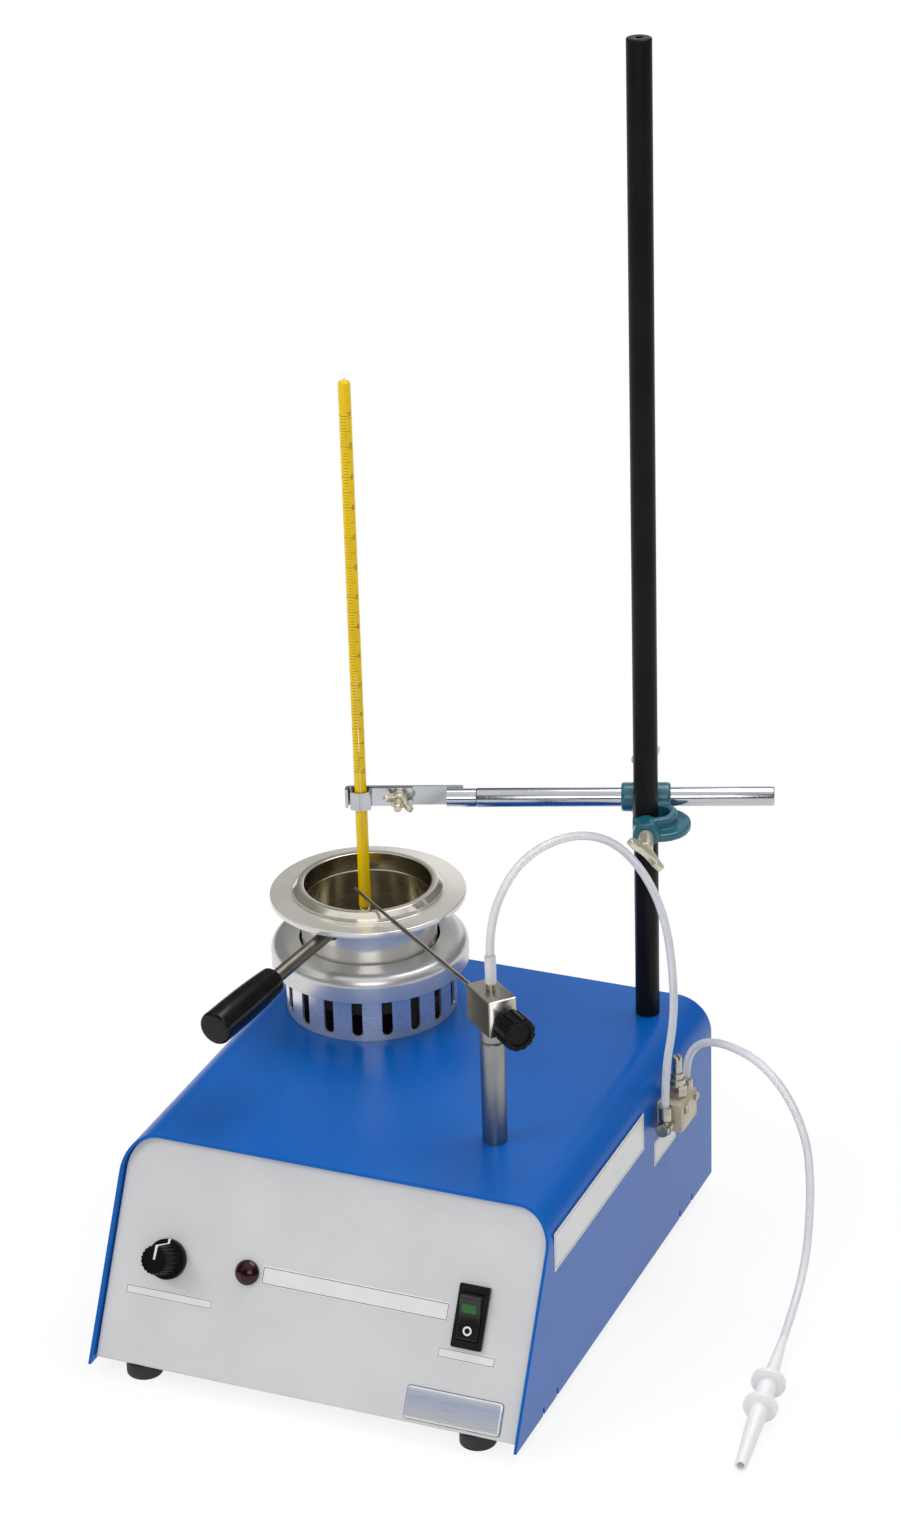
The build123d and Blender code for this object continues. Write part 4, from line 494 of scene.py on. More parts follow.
def label_strip(name, corner, across, up, width, height, line_in=1.0, line=0.35):
    """A flat label on a grid of six by six lines: edge, outer and inner side of its border line, and back.

    The point is corner + across * u + up * v, and the cells of the second ring are the dark line.
    """
    u = np.array([0, line_in, line_in + line, width - line_in - line, width - line_in, width])
    v = np.array([0, line_in, line_in + line, height - line_in - line, height - line_in, height])
    points = corner + u[None, :, None] * across + v[:, None, None] * up
    ring = np.minimum(np.arange(5), 4 - np.arange(5))
    dark = np.minimum(ring[:, None], ring[None, :]) == 1
    film = new_piece(name, points, grid_faces(6, 6))
    film.data.materials.append(label_white)
    film.data.materials.append(label_line)
    film.data.polygons.foreach_set("material_index", dark.astype(np.int32).ravel())
    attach(give_wall(film, 0.12), "root")


label_white = finish("label_film", ((0.8, 0.8, 0.79), (0.84, 0.84, 0.83)), (0.3, 0.42), cloud=60, grain=700)
label_line = finish(
    "label_print", ((0.05, 0.05, 0.055), (0.09, 0.09, 0.095)), (0.35, 0.45), cloud=60, grain=700
)
label_strip("label_under_knob", panel_point(-98, 36.5), panel_right, panel_up, 45.5, 4.8, 0.5, 0.25)
label_strip("label_long", panel_point(-30, 53), panel_right, panel_up, 95.8, 9.3, 0.7, 0.3)
label_strip("label_under_switch", panel_point(63, 36.3), panel_right, panel_up, 28.9, 5.1, 0.5, 0.25)
wall_side, upwards = np.array([0, 1.0, 0]), np.array([0, 0, 1.0])
label_strip("label_side_long", np.array([110, -83.1, 66.1]), wall_side, upwards, 119.3, 20.4, 1.3, 0.35)
label_strip("label_side_short", np.array([110, 50.5, 48.5]), wall_side, upwards, 30.5, 13.5, 1.0, 0.35)


def domed_tile(name, centre, across, up, out, width, height, corner, edge, rise, rings=9, around=96):
    """A small tile with rounded corners and a domed top.

    Each outline is a rounded rectangle: the direction t gives the corner's arc, shifted to its corner. The rings
    shrink inwards by a share w of the corner's radius, and stand edge + rise * sqrt(1 - (1 - w)^2) high.
    """
    turn = (np.arange(around) + 0.5) * 2 * np.pi / around
    reach = np.stack([np.cos(turn), np.sin(turn)], -1)
    core = np.array([width / 2 - corner, height / 2 - corner]) * np.sign(reach)
    share = np.concatenate([[0, 0], np.sin(np.linspace(0, np.pi / 2, rings))[1:] ** 2])
    high = np.concatenate([[0, edge], edge + rise * np.sqrt(1 - (1 - share[2:]) ** 2)])
    flat = core + reach * corner * (1 - 0.999 * share[:, None, None])
    points = centre + flat[..., :1] * across + flat[..., 1:] * up + high[:, None, None] * out
    last = (len(share) - 1) * around
    top, bottom = list(range(last, last + around)), list(range(around - 1, -1, -1))
    faces = grid_faces(len(share), around, close_columns=True).tolist() + [top, bottom]
    return new_piece(name, points, faces, sharp=50, merge=0)


plate_back = finish("plate_rim", ((0.05, 0.05, 0.09), (0.09, 0.09, 0.14)), (0.2, 0.3), cloud=80, Coat_Weight=1.0)
plate_silver, plate_shader = new_material("silvered_resin_plate")
# From the lower to the upper edge of the plate its tone goes from warm to blue and back.
plate_spot, plate_half = (75.5, 13.6), 8.0
plate_place = object_place(plate_silver)
plate_high = add_node(
    plate_silver, "VectorMath", {"operation": "DOT_PRODUCT"}, _0=plate_place, _1=tuple(panel_up / mm)
)
plate_middle = float(panel_point(*plate_spot) @ panel_up)
plate_share = add_node(
    plate_silver, "MapRange", Value=plate_high.outputs["Value"], From_Min=plate_middle - plate_half,
    From_Max=plate_middle + plate_half,
)
plate_tone = ramp(
    plate_silver, plate_share,
    ((0.0, (0.74, 0.73, 0.72)), (0.35, (0.62, 0.66, 0.76)), (0.72, (0.52, 0.58, 0.76)), (1.0, (0.78, 0.79, 0.82))),
)
plate_grain = add_node(
    plate_silver, "Mapping", {"vector_type": "TEXTURE"}, Vector=plate_place, Scale=(1.0, 0.03, 0.03)
)
plate_fine = add_node(plate_silver, "TexNoise", Vector=plate_grain, Scale=60.0, Detail=3.0)
plate_rough = add_node(plate_silver, "MapRange", Value=plate_fine, To_Min=0.18, To_Max=0.42)
join(
    plate_silver, plate_shader, Base_Color=plate_tone, Roughness=plate_rough, Metallic=0.35, Coat_Weight=1.0,
    Coat_Roughness=0.03,
)
for tile_name, lift, sizes, tile_coat in (
    ("plate_rim", 0, (48.5, 15.9, 1.9, 0.25, 0.1), plate_back),
    ("plate_dome", 0.2, (47.9, 15.3, 1.7, 0.35, 0.6), plate_silver),
):
    tile = domed_tile(tile_name, panel_point(*plate_spot, lift), panel_right, panel_up, panel_out, *sizes)
    dress(tile, "blank_plate", tile_coat)

# -------- feet and case screws
# Four turned rubber feet, each held by a screw in its well, and zinc-plated screws round the case.


def with_corners(points, steps=6, closed=False):
    """A profile with rounded corners: a third number is that corner's radius.

    The arc's centre is on the corner's bisector, and its direction turns evenly from one side to the other.
    """
    parts, last = [], len(points) - 1
    for number, point in enumerate(points):
        place = np.array(point[:2], float)
        if len(point) < 3 or (number in (0, last) and not closed):
            parts.append(place[None])
            continue
        back = np.array(points[number - 1][:2]) - place
        ahead = np.array(points[(number + 1) % len(points)][:2]) - place
        back, ahead = back / np.linalg.norm(back), ahead / np.linalg.norm(ahead)
        half = np.arccos(np.clip(back @ ahead, -1, 1)) / 2
        middle = place + (back + ahead) / np.linalg.norm(back + ahead) * point[2] / np.sin(half)
        first = place + back * point[2] / np.tan(half) - middle
        final = place + ahead * point[2] / np.tan(half) - middle
        share, sweep_angle = np.linspace(0, 1, steps + 1)[:, None], np.pi - 2 * half
        blend = np.sin((1 - share) * sweep_angle) * first + np.sin(share * sweep_angle) * final
        parts.append(middle + blend / np.sin(sweep_angle))
    return np.concatenate(parts)


def turned(name, profile, centres, axis=(0, 0, 1), side=(1, 0, 0), around=96, flutes=None, closed=False, sharp=35):
    """A piece turned on a lathe, or several like it.

    Each point of the profile is a distance from the axis and a height along it, and goes round the axis:
    centre + height * axis + distance * (cos(turn) * side + sin(turn) * across). flutes(turn, height) is the
    farthest that the surface reaches there.
    """
    up = np.array(axis, float) / np.linalg.norm(axis)
    beside = np.array(side, float) - up * (np.array(side, float) @ up)
    beside = beside / np.linalg.norm(beside)
    across = np.cross(up, beside)
    profile = np.asarray(profile, float)
    turn = circle(around)[None, :]
    distance, height = profile[:, :1] + 0 * turn, profile[:, 1:] + 0 * turn
    if flutes:
        distance = np.minimum(distance, flutes(turn, height))
    lathe = height[..., None] * up + distance[..., None] * (
        np.cos(turn)[..., None] * beside + np.sin(turn)[..., None] * across
    )
    centres = np.reshape(centres, (-1, 3))
    points = centres[:, None, None, :] + lathe
    faces = grid_faces(len(profile), around, close_rows=closed, close_columns=True)
    shift = np.arange(len(centres))[:, None, None] * lathe[..., 0].size
    return new_piece(name, points, (faces[None] + shift).reshape(-1, 4), sharp)


def coat_node(node, coat):
    """A new finish on a CAD piece that stays as it is."""
    nodes[node].material_slots[0].material = coat


foot_rubber = finish("foot_rubber", (0.012, 0.024), (0.55, 0.75), cloud=120, grain=1500, relief=2e-5)
foot_profile = with_corners([(0, 0), (8.8, 0, 0.4), (8.8, -7.5, 1.0), (4.2, -7.5, 0.3), (4.2, -3.5), (0, -3.5)])
foot_places = [(x, y, 0) for x in (-86, 86) for y in (-122.5, 122.5)]
dress(turned("turned_feet", foot_profile, foot_places, around=64), "rubber_feet", foot_rubber)
zinc = finish(
    "zinc_plate", ((0.42, 0.42, 0.4), (0.58, 0.58, 0.55)), (0.24, 0.4), cloud=300, grain=1800, relief=6e-6,
    Metallic=1.0,
)
softened("case_screws", 0.15, zinc)

# -------- mains inlet and the inside
# A moulded inlet with three pins on the rear wall, and the regulator, board, heat sink and terminal
# block inside the case, which show only through the vents.
moulded_black = finish("moulded_black", (0.012, 0.02), (0.36, 0.5), cloud=90, grain=1400, relief=1.4e-5)
softened("mains_inlet", 0.5, moulded_black)
softened("inlet_screws", 0.15, zinc)
board_coat = finish("board_laminate", ((0.012, 0.1, 0.035), (0.02, 0.15, 0.055)), (0.3, 0.5), cloud=150)
sink_coat = finish(
    "extruded_aluminium", ((0.6, 0.6, 0.61), (0.72, 0.72, 0.73)), (0.3, 0.45), cloud=60, Metallic=1.0
)
for inner, inner_coat in (
    ("regulator_pot", moulded_black), ("lamp_body", moulded_black), ("control_board", board_coat),
    ("terminal_block", board_coat), ("board_standoffs", zinc), ("triac_heatsink", sink_coat),
    ("regulator_shaft", zinc), ("pot_nut", zinc), ("stud_nuts", zinc),
):
    coat_node(inner, inner_coat)

# -------- heat regulator knob
# A fluted black moulding with a skirt, pushed on the regulator's shaft, and a white line from the
# middle of its top down its side and across the skirt.
knob_centre = panel_point(-78.5, 56.3)
flute_count, flute_r, flute_turn, flute_foot = 20, 0.7, math.radians(87), 4.3
boss_foot_r, boss_foot, boss_top_r, boss_top = 7.6, 3.7, 7.0, 17.0
no_cut = 99.0


def fluted(turn, ridge_r, count, cut_r):
    """How far a fluted surface reaches: its ridges' radius, less a round flute at each even share of a turn."""
    pitch = 2 * np.pi / count
    off = (turn + pitch / 2) % pitch - pitch / 2
    aside = ridge_r * np.sin(off)
    cut = ridge_r * np.cos(off) - np.sqrt(np.maximum(cut_r**2 - aside**2, 0))
    return np.where(np.abs(aside) < cut_r, cut, no_cut)


def knob_flutes(turn, height):
    """How far the knob reaches: its boss narrows evenly upwards, and its flutes begin above the skirt."""
    boss = boss_foot_r + (boss_top_r - boss_foot_r) * (height - boss_foot) / (boss_top - boss_foot)
    reach = fluted(turn - flute_turn + np.pi / flute_count, boss, flute_count, flute_r)
    return np.where(height > flute_foot, reach, no_cut)


def add_on(piece, node, coat):
    """Gives a piece that no CAD node stands for its finish, and the body of the node it sits on."""
    piece.data.materials.append(coat)
    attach(piece, nodes[node]["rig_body"])


knob_profile = with_corners(
    [(0, 3.1), (6.2, 3.1), (6.2, 0.5), (9.75, 0.5, 0.3), (9.75, 3.7, 0.7), (boss_foot_r, boss_foot, 0.3),
     (7.58, 4.25), (7.56, 4.4), (boss_top_r, boss_top, 0.9), (0, boss_top)]
)
knob_black = finish(
    "knob_black", (0.003, 0.006), (0.3, 0.42), cloud=150, grain=1600, relief=8e-6, Specular_IOR_Level=0.14
)
knob = turned(
    "fluted_regulator_knob", knob_profile, knob_centre, panel_out, panel_right, around=400, flutes=knob_flutes,
    sharp=40,
)
dress(knob, "regulator_knob", knob_black)
white_line = finish("white_paint_line", ((0.8, 0.8, 0.79), (0.88, 0.88, 0.87)), (0.35, 0.5), cloud=400)
line_half = 0.58
line_way = math.cos(flute_turn) * panel_right + math.sin(flute_turn) * panel_up
line_aside = np.cross(panel_out, line_way)
line_path = np.array(
    [(0.2, boss_top), (6.2, boss_top), (6.75, 16.75), (7.02, 16.3), (7.56, 4.4), (7.75, 3.76), (9.0, 3.72),
     (9.6, 3.5), (9.76, 3.0)]
)
line_points = (
    knob_centre
    + (line_path[:, :1] * line_way + line_path[:, 1:] * panel_out)[:, None]
    + np.linspace(-line_half, line_half, 5)[None, :, None] * line_aside
)
pointer = new_piece("knob_pointer_line", line_points, grid_faces(len(line_path), 5), 60)
add_on(give_wall(pointer, 0.1), "regulator_knob", white_line)

# -------- pilot lamp
# A dark red domed lens in a round rim.
lens_r, lens_ball_r, lens_top = 6.0, 7.225, 4.4
lens_arc = np.linspace(math.asin(lens_r / lens_ball_r), 0, 14)[:, None]
lens_dome = np.hstack([lens_ball_r * np.sin(lens_arc), lens_top - lens_ball_r * (1 - np.cos(lens_arc))])
lens_profile = np.concatenate([[(0, 0.0), (lens_r, 0.0), (lens_r, 1.0)], lens_dome])
lens_red = finish(
    "tinted_lens", ((0.016, 0.0006, 0.001), (0.03, 0.002, 0.003)), (0.1, 0.18), cloud=160, grain=500,
    relief=1.0e-5, Specular_IOR_Level=0.25, Coat_Weight=0.15, Coat_Roughness=0.05,
)
dress(
    turned("domed_lamp_lens", lens_profile, panel_point(-37.3, 57.4), panel_out, panel_right, around=64, sharp=50),
    "lamp_lens", lens_red,
)

# -------- rocker switch
# A glossy black rocker in a snap-in frame, with a green window in its upper half and a white ring,
# the off mark, printed on its lower half.
glossy_black = finish("glossy_black", (0.009, 0.014), (0.14, 0.24), cloud=120, grain=1200)
softened("switch_frame", 0.4, glossy_black)
softened("switch_rocker", 0.4, glossy_black)
rock, rocker_rise = math.radians(10), 3.2
rocker_middle = panel_point(77.0, 57.6)
rock_cos, rock_sin = math.cos(rock), math.sin(rock)
rocker_x = rock_cos * panel_up + rock_sin * panel_out
rocker_y = rock_cos * panel_out - rock_sin * panel_up
upper_way = rock_cos * rocker_x + rock_sin * rocker_y
upper_out = rock_cos * rocker_y - rock_sin * rocker_x
lower_out = rock_cos * rocker_y + rock_sin * rocker_x
window_place = rocker_middle + rocker_rise * rocker_y + 4.9 * upper_way + 0.02 * upper_out
window_green = finish(
    "green_window", ((0.014, 0.115, 0.02), (0.022, 0.145, 0.028)), (0.12, 0.2), cloud=500, Coat_Weight=0.12,
    Coat_Roughness=0.05, Specular_IOR_Level=0.25,
)
window = domed_tile(
    "switch_green_window", window_place, -panel_right, upper_way, upper_out, 7.4, 4.6, 0.7, 0.15, 0.25, rings=6,
    around=48,
)
add_on(window, "switch_rocker", window_green)
ring_place = rocker_middle + rocker_rise * rocker_y + 5.9 * (rock_sin * rocker_y - rock_cos * rocker_x)
off_ring = turned(
    "switch_off_ring", [(1.35, -0.1), (2.2, -0.1), (2.2, 0.06), (1.35, 0.06)], ring_place, lower_out, panel_right,
    around=48, closed=True,
)
add_on(off_ring, "switch_rocker", white_line)

# -------- heater
# Ceramic posts and a ceramic former with its oxidised coil under a turned hot plate, all painted near black as
# shade for the guard's dark inside. A slotted steel guard stands round them, and a spun cover with a rounded
# shoulder lies on the guard.
heater_centre = (-50.5, 77.4, 0.0)


def turned_lay(centre):
    """Coordinates that stay the same all round a vertical axis, for the marks that a lathe leaves."""

    def lay(made):
        moved = add_node(
            made, "Mapping", {"vector_type": "TEXTURE"}, Vector=object_place(made),
            Location=[c * mm for c in centre],
        )
        split = add_node(made, "SeparateXYZ", Vector=moved)
        flat = add_node(made, "CombineXYZ", X=split.outputs["X"], Y=split.outputs["Y"])
        radius = add_node(made, "VectorMath", {"operation": "LENGTH"}, _0=flat)
        return add_node(made, "CombineXYZ", X=radius.outputs["Value"], Z=split.outputs["Z"])

    return lay


def drawn_lay(direction, stretch=40.0):
    """Coordinates squeezed along one direction, for the long fine marks of drawing or brushing."""

    def lay(made):
        turn_to = Vector((1, 0, 0)).rotation_difference(Vector(direction)).to_euler()
        return add_node(
            made, "Mapping", {"vector_type": "TEXTURE"}, Vector=object_place(made), Rotation=turn_to,
            Scale=(stretch, 1.0, 1.0),
        )

    return lay


heater_lay = turned_lay(heater_centre)
# Painted shade: the ceramic posts and former are near black for the shade inside the guard, and the oxidised coil
# is darkened with them.
ceramic_in_painted_shade = finish(
    "ceramic_painted_shade", ((0.02, 0.018, 0.017), (0.045, 0.04, 0.037)), (0.6, 0.8), cloud=70, relief=3e-5
)
coil_oxide_and_shade = finish(
    "oxidised_coil_and_painted_shade", ((0.05, 0.045, 0.042), (0.09, 0.075, 0.065)), (0.4, 0.55), cloud=200, Metallic=0.8
)
for part, part_coat in (("heater_former", ceramic_in_painted_shade), ("ceramic_standoffs", ceramic_in_painted_shade), ("heater_coil", coil_oxide_and_shade)):
    coat_node(part, part_coat)
# Painted shade: the hot plate's steel is near black, for the shade inside the guard.
hot_plate_in_painted_shade = finish(
    "turned_hot_plate", ((0.05, 0.047, 0.045), (0.085, 0.08, 0.075)), (0.35, 0.5), cloud=40, grain=2600,
    relief=6e-6, lay=heater_lay, Metallic=1.0,
)
plate_profile = with_corners([(0, 122.5), (41, 122.5, 0.4), (41, 128.2, 0.7), (0, 128.2)])
dress(turned("turned_heater_plate", plate_profile, heater_centre, around=128), "heater_plate", hot_plate_in_painted_shade)

guard_coat = finish(
    "rolled_guard_sheet", ((0.72, 0.725, 0.74), (0.79, 0.795, 0.81)), (0.26, 0.29), cloud=45, grain=2200,
    lay=heater_lay, Metallic=0.74,
)
softened("heater_shield", 0.12, guard_coat, "slotted_guard")
cover_coat = finish(
    "spun_cover", ((0.66, 0.65, 0.63), (0.73, 0.72, 0.7)), (0.27, 0.32), cloud=35, grain=2600, relief=6e-7,
    lay=heater_lay, Metallic=0.66,
)
cover_profile = with_corners(
    [(35.25, 136.7, 0.2), (49.5, 136.7, 6.0), (49.5, 122.9, 0.2), (48.3, 122.9, 0.2), (48.3, 135.5, 4.8),
     (35.25, 135.5, 0.2)],
    steps=14, closed=True,
)
dress(
    turned("spun_heater_cover", cover_profile, heater_centre, around=192, closed=True, sharp=50),
    "heater_cover", cover_coat,
)

# -------- test cup
# A brass cup turned from the solid and nickel plated: polished inside with a fine filling ridge, its nickel there
# painted darker as shade, a wide flange with a bevelled rim, and lathe marks left on the flange and the outer
# wall.
cup_profile = with_corners(
    [(0, 128.5), (34, 128.5, 2.0), (34, 158.2, 1.2), (49, 158.2, 0.5), (49, 161.2, 0.7), (37.5, 161.2, 0.6),
     (37.5, 163.2, 0.35), (35, 165.7, 0.4), (31.75, 165.7, 0.5), (31.75, 156.45, 0.1), (31.25, 156.0, 0.25),
     (31.75, 155.55, 0.1), (31.75, 132.1, 1.8), (0, 132.1)],
    steps=8,
)
cup = turned("nickel_test_cup", cup_profile, heater_centre, around=192, sharp=50)
cup_satin = finish(
    "turned_nickel", ((0.76, 0.735, 0.68), (0.81, 0.785, 0.73)), (0.12, 0.18), cloud=30, grain=2800,
    relief=8e-7, lay=heater_lay, Metallic=0.45,
)
# Painted shade: the inside's nickel is darker and browner than the outside's, for the shade and dim reflections
# within the cup.
cup_inside_painted_shade = finish(
    "polished_nickel_painted_shade", ((0.5, 0.465, 0.37), (0.58, 0.54, 0.44)), (0.14, 0.22), cloud=40, grain=1500,
    relief=3e-6, lay=heater_lay, Metallic=1.0,
)
cup_bevel = finish(
    "bevelled_nickel_rim", ((0.72, 0.68, 0.59), (0.79, 0.75, 0.66)), (0.09, 0.15), cloud=40, grain=1500,
    relief=6e-7, lay=heater_lay, Metallic=0.8,
)
for cup_face in (cup_satin, cup_inside_painted_shade, cup_bevel):
    cup.data.materials.append(cup_face)
cup_spots = np.empty(len(cup.data.polygons) * 3)
cup.data.polygons.foreach_get("center", cup_spots)
cup_spots = cup_spots.reshape(-1, 3) / mm - heater_centre
from_axis = np.hypot(cup_spots[:, 0], cup_spots[:, 1])
bore_reach, floor_height, bevel_reach, bevel_foot = 31.9, 130, 37.8, 161.5
inside_cup = (from_axis < bore_reach) & (cup_spots[:, 2] > floor_height)
on_bevel = ~inside_cup & (from_axis < bevel_reach) & (cup_spots[:, 2] > bevel_foot)
cup.data.polygons.foreach_set("material_index", (inside_cup + 2 * on_bevel).astype(np.int32))
dress(cup, "cup", cup_satin)


def heading(turn, rise=0.0):
    """The unit direction at a turn round +Z from +X and a rise above level, both in radians."""
    return np.array([math.cos(turn) * math.cos(rise), math.sin(turn) * math.cos(rise), math.sin(rise)])


# The handle: a dark drawn rod with a rough welded root, and a glossy black moulded grip on its end.
handle_root = np.array([-50.5, 77.4, 155.2])
handle_turn, handle_droop = math.radians(-98.6), math.radians(3.0)
handle_way = heading(handle_turn, -handle_droop)
rod_coat = finish(
    "drawn_handle_steel", ((0.19, 0.172, 0.14), (0.26, 0.24, 0.2)), (0.28, 0.42), cloud=60, grain=1600,
    relief=8e-6, lay=drawn_lay(handle_way), Metallic=1.0,
)
handle = turned(
    "handle_rod_drawn", with_corners([(0, 33.4), (3.5, 33.4), (3.5, 107.5, 0.4), (0, 107.5)]), handle_root,
    handle_way, around=48,
)
dress(handle, "handle_rod", rod_coat)


def bead_ripple(turn, height):
    """How far the weld bead reaches: its round, roughened by three waves round the rod."""
    waves = 0.16 * np.sin(5 * turn + 0.7) + 0.1 * np.sin(11 * turn + 2.1)
    return 4.75 + (waves + 0.07 * np.sin(17 * turn + 3 * height))


bead_turn = circle(16)
bead = turned(
    "handle_weld_bead", np.stack([3.7 + 1.25 * np.cos(bead_turn), 34.9 + 1.15 * np.sin(bead_turn)], 1),
    handle_root, handle_way, flutes=bead_ripple, closed=True, sharp=80,
)
weld = finish(
    "weld_bead", ((0.05, 0.042, 0.032), (0.16, 0.13, 0.09)), (0.35, 0.6), cloud=500, grain=1500, relief=6e-5,
    Metallic=0.9,
)
add_on(bead, "handle_rod", weld)
grip_s = np.linspace(88.6, 125, 12)
grip_r = 7.0 + 1.5 * (1 - (1 - (grip_s - 87.5) / 37.5) ** 2)
grip_profile = np.concatenate(
    [
        [(0, 108.4), (3.55, 108.4), (3.55, 87.5)],
        with_corners([(3.55, 87.5), (7.0, 87.5, 1.0), (7.08, 88.6)])[1:-1],
        np.stack([grip_r, grip_s], 1),
        with_corners([(8.5, 125), (8.5, 138.0, 1.7), (0, 138.0)], steps=10)[1:],
    ]
)
grip_black = finish(
    "phenolic_grip", (0.006, 0.01), (0.12, 0.22), cloud=90, relief=4e-6, Specular_IOR_Level=0.16,
    Coat_Weight=0.1, Coat_Roughness=0.06,
)
grip = turned("moulded_handle_grip", grip_profile, handle_root, handle_way, around=72, sharp=50)
dress(grip, "handle_grip", grip_black)

# -------- burner
# A turned post and collar carry a brushed steel block that swings. A long fine flame tube with a thinner
# nozzle leaves one end, and a needle with a fluted black knob adjusts the gas at the other.
post_centre = (60.0, -31.0, 0.0)
post_coat = finish(
    "turned_post_steel", ((0.3, 0.295, 0.285), (0.38, 0.372, 0.36)), (0.32, 0.42), cloud=40, grain=2400,
    relief=7e-6, lay=turned_lay(post_centre), Metallic=1.0,
)
softened("burner_post", 0.2, post_coat)
softened("burner_collar", 0.25, post_coat)
coat_node("collar_screw", zinc)
flame_way = heading(math.radians(139.6))
block_coat = finish(
    "brushed_block_steel", ((0.46, 0.44, 0.4), (0.56, 0.54, 0.49)), (0.28, 0.42), cloud=50, grain=1500,
    relief=1.2e-5, lay=drawn_lay(flame_way), Metallic=1.0,
)
softened("burner_block", 0.3, block_coat)
tube_coat = finish(
    "drawn_tube_steel", ((0.3, 0.28, 0.25), (0.42, 0.395, 0.355)), (0.22, 0.36), cloud=120, grain=1600,
    relief=5e-6, lay=drawn_lay(flame_way), Metallic=1.0,
)
for fine_piece in ("flame_tube", "flame_nozzle", "burner_needle"):
    coat_node(fine_piece, tube_coat)
softened("packing_nut", 0.3, knob_black)
nickel = finish(
    "dull_nickel", ((0.4, 0.37, 0.31), (0.54, 0.5, 0.43)), (0.2, 0.34), cloud=220, grain=1600, relief=7e-6,
    Metallic=1.0,
)
softened("burner_nipple", 0.12, nickel)

needle_knob_centre = np.array([60.0, -31.0, 168.0]) - 11.55 * flame_way
needle_flutes, needle_flute_r, needle_knob_r = 12, 1.0, 8.25


def needle_knob_flutes(turn, height):
    """How far the needle's knob reaches: a round flute between each pair of ridges, at every height."""
    return fluted(turn, needle_knob_r, needle_flutes, needle_flute_r)


needle_knob_profile = with_corners(
    [(0, 5.0), (needle_knob_r, 5.0, 0.9), (needle_knob_r, 17.3, 0.9), (5.6, 17.3, 0.3), (5.2, 16.1, 0.3),
     (0, 16.1)]
)
needle_knob = turned(
    "fluted_needle_knob", needle_knob_profile, needle_knob_centre, -flame_way, (0, 0, 1), around=288,
    flutes=needle_knob_flutes, sharp=40,
)
dress(needle_knob, "burner_knob", knob_black)
cuff_profile = with_corners(
    [(0, 187.6), (1.85, 187.6), (1.85, 182.5), (2.7, 182.5, 0.4), (2.7, 196.5, 0.5), (0, 196.5)]
)
hose_cuff = turned("silicone_hose_cuff", cuff_profile, post_centre, around=48, sharp=50)
dress(hose_cuff, "hose_cuff", silicone)

# -------- gas valve
# A satin beige casting on the right wall, with a hexagonal bonnet and a slotted spindle between two
# banjo nipples, each held by its bolt. Fastened by two slotted screws.
valve_coat = finish(
    "satin_beige_casting", ((0.52, 0.475, 0.35), (0.6, 0.55, 0.415)), (0.36, 0.5), cloud=90, grain=1300,
    relief=2.4e-5, Metallic=0.25,
)
softened("valve_body", 0.5, valve_coat)
for part, edge in (
    ("valve_bonnet", 0.2), ("valve_spindle", 0.2), ("valve_nipples", 0.15), ("banjo_bolts", 0.2),
    ("valve_screws", 0.15),
):
    softened(part, edge, nickel)

# -------- hose connector
# A white moulded connector on the supply hose: a stepped barrel with an open tip, two flanges with a
# neck between them, and a stepped stem that the hose is pushed over.
connector_white = finish(
    "white_moulding", ((0.9, 0.905, 0.905), (0.94, 0.945, 0.945)), (0.28, 0.42), cloud=90, relief=8e-6,
    Subsurface_Weight=0.15, Subsurface_Scale=0.003,
)
coat_node("hose_connector", connector_white)

# -------- stand
# A satin black rod screwed into the case, with a centre hole in its chamfered top. The boss head on it is a
# teal enamelled casting with two worn nickel thumb screws.
stand_profile = with_corners(
    [(0, 86.5), (4.05, 86.5, 0.4), (4.05, 98.8), (6.0, 98.8, 0.3), (6.0, 595.5, 0.8), (1.6, 595.5, 0.2),
     (1.6, 589.5), (0, 589.5)],
    steps=3,
)
stand_coat = finish(
    "satin_black_rod", ((0.007, 0.007, 0.008), (0.011, 0.011, 0.012)), (0.26, 0.38), cloud=30, grain=1000,
    relief=1.2e-5, lay=drawn_lay((0, 0, 1)), Specular_IOR_Level=0.09,
)
dress(turned("stand_rod_turned", stand_profile, (84.4, 112.1, 0), around=64), "stand_rod", stand_coat)


def cast_copy(node, voxel, rounds, coat):
    """A copy of a CAD piece as a casting: remade in small even faces and smoothed, so its corners run soft."""
    copy = merged_copy(node, "cast_" + node)
    remade = copy.modifiers.new("cast_skin", "REMESH")
    remade.mode = "VOXEL"
    remade.voxel_size = voxel * mm
    remade.use_smooth_shade = True
    soft = copy.modifiers.new("soft_corners", "SMOOTH")
    soft.factor = 0.5
    soft.iterations = rounds
    return dress(copy, node, coat)


teal = finish(
    "teal_enamel", ((0.01, 0.115, 0.165), (0.018, 0.145, 0.2)), (0.26, 0.36), cloud=80, grain=260, relief=9e-5,
    Coat_Weight=0.15, Coat_Roughness=0.12,
)
cast_copy("boss_head", 0.55, 6, teal)
worn_nickel = finish(
    "worn_nickel_casting", ((0.66, 0.61, 0.48), (0.82, 0.76, 0.61)), (0.26, 0.42), cloud=200, grain=700,
    relief=1.6e-5, Metallic=0.7,
)
for screw in ("rod_screw", "arm_screw"):
    cast_copy(screw, 0.3, 5, worn_nickel)

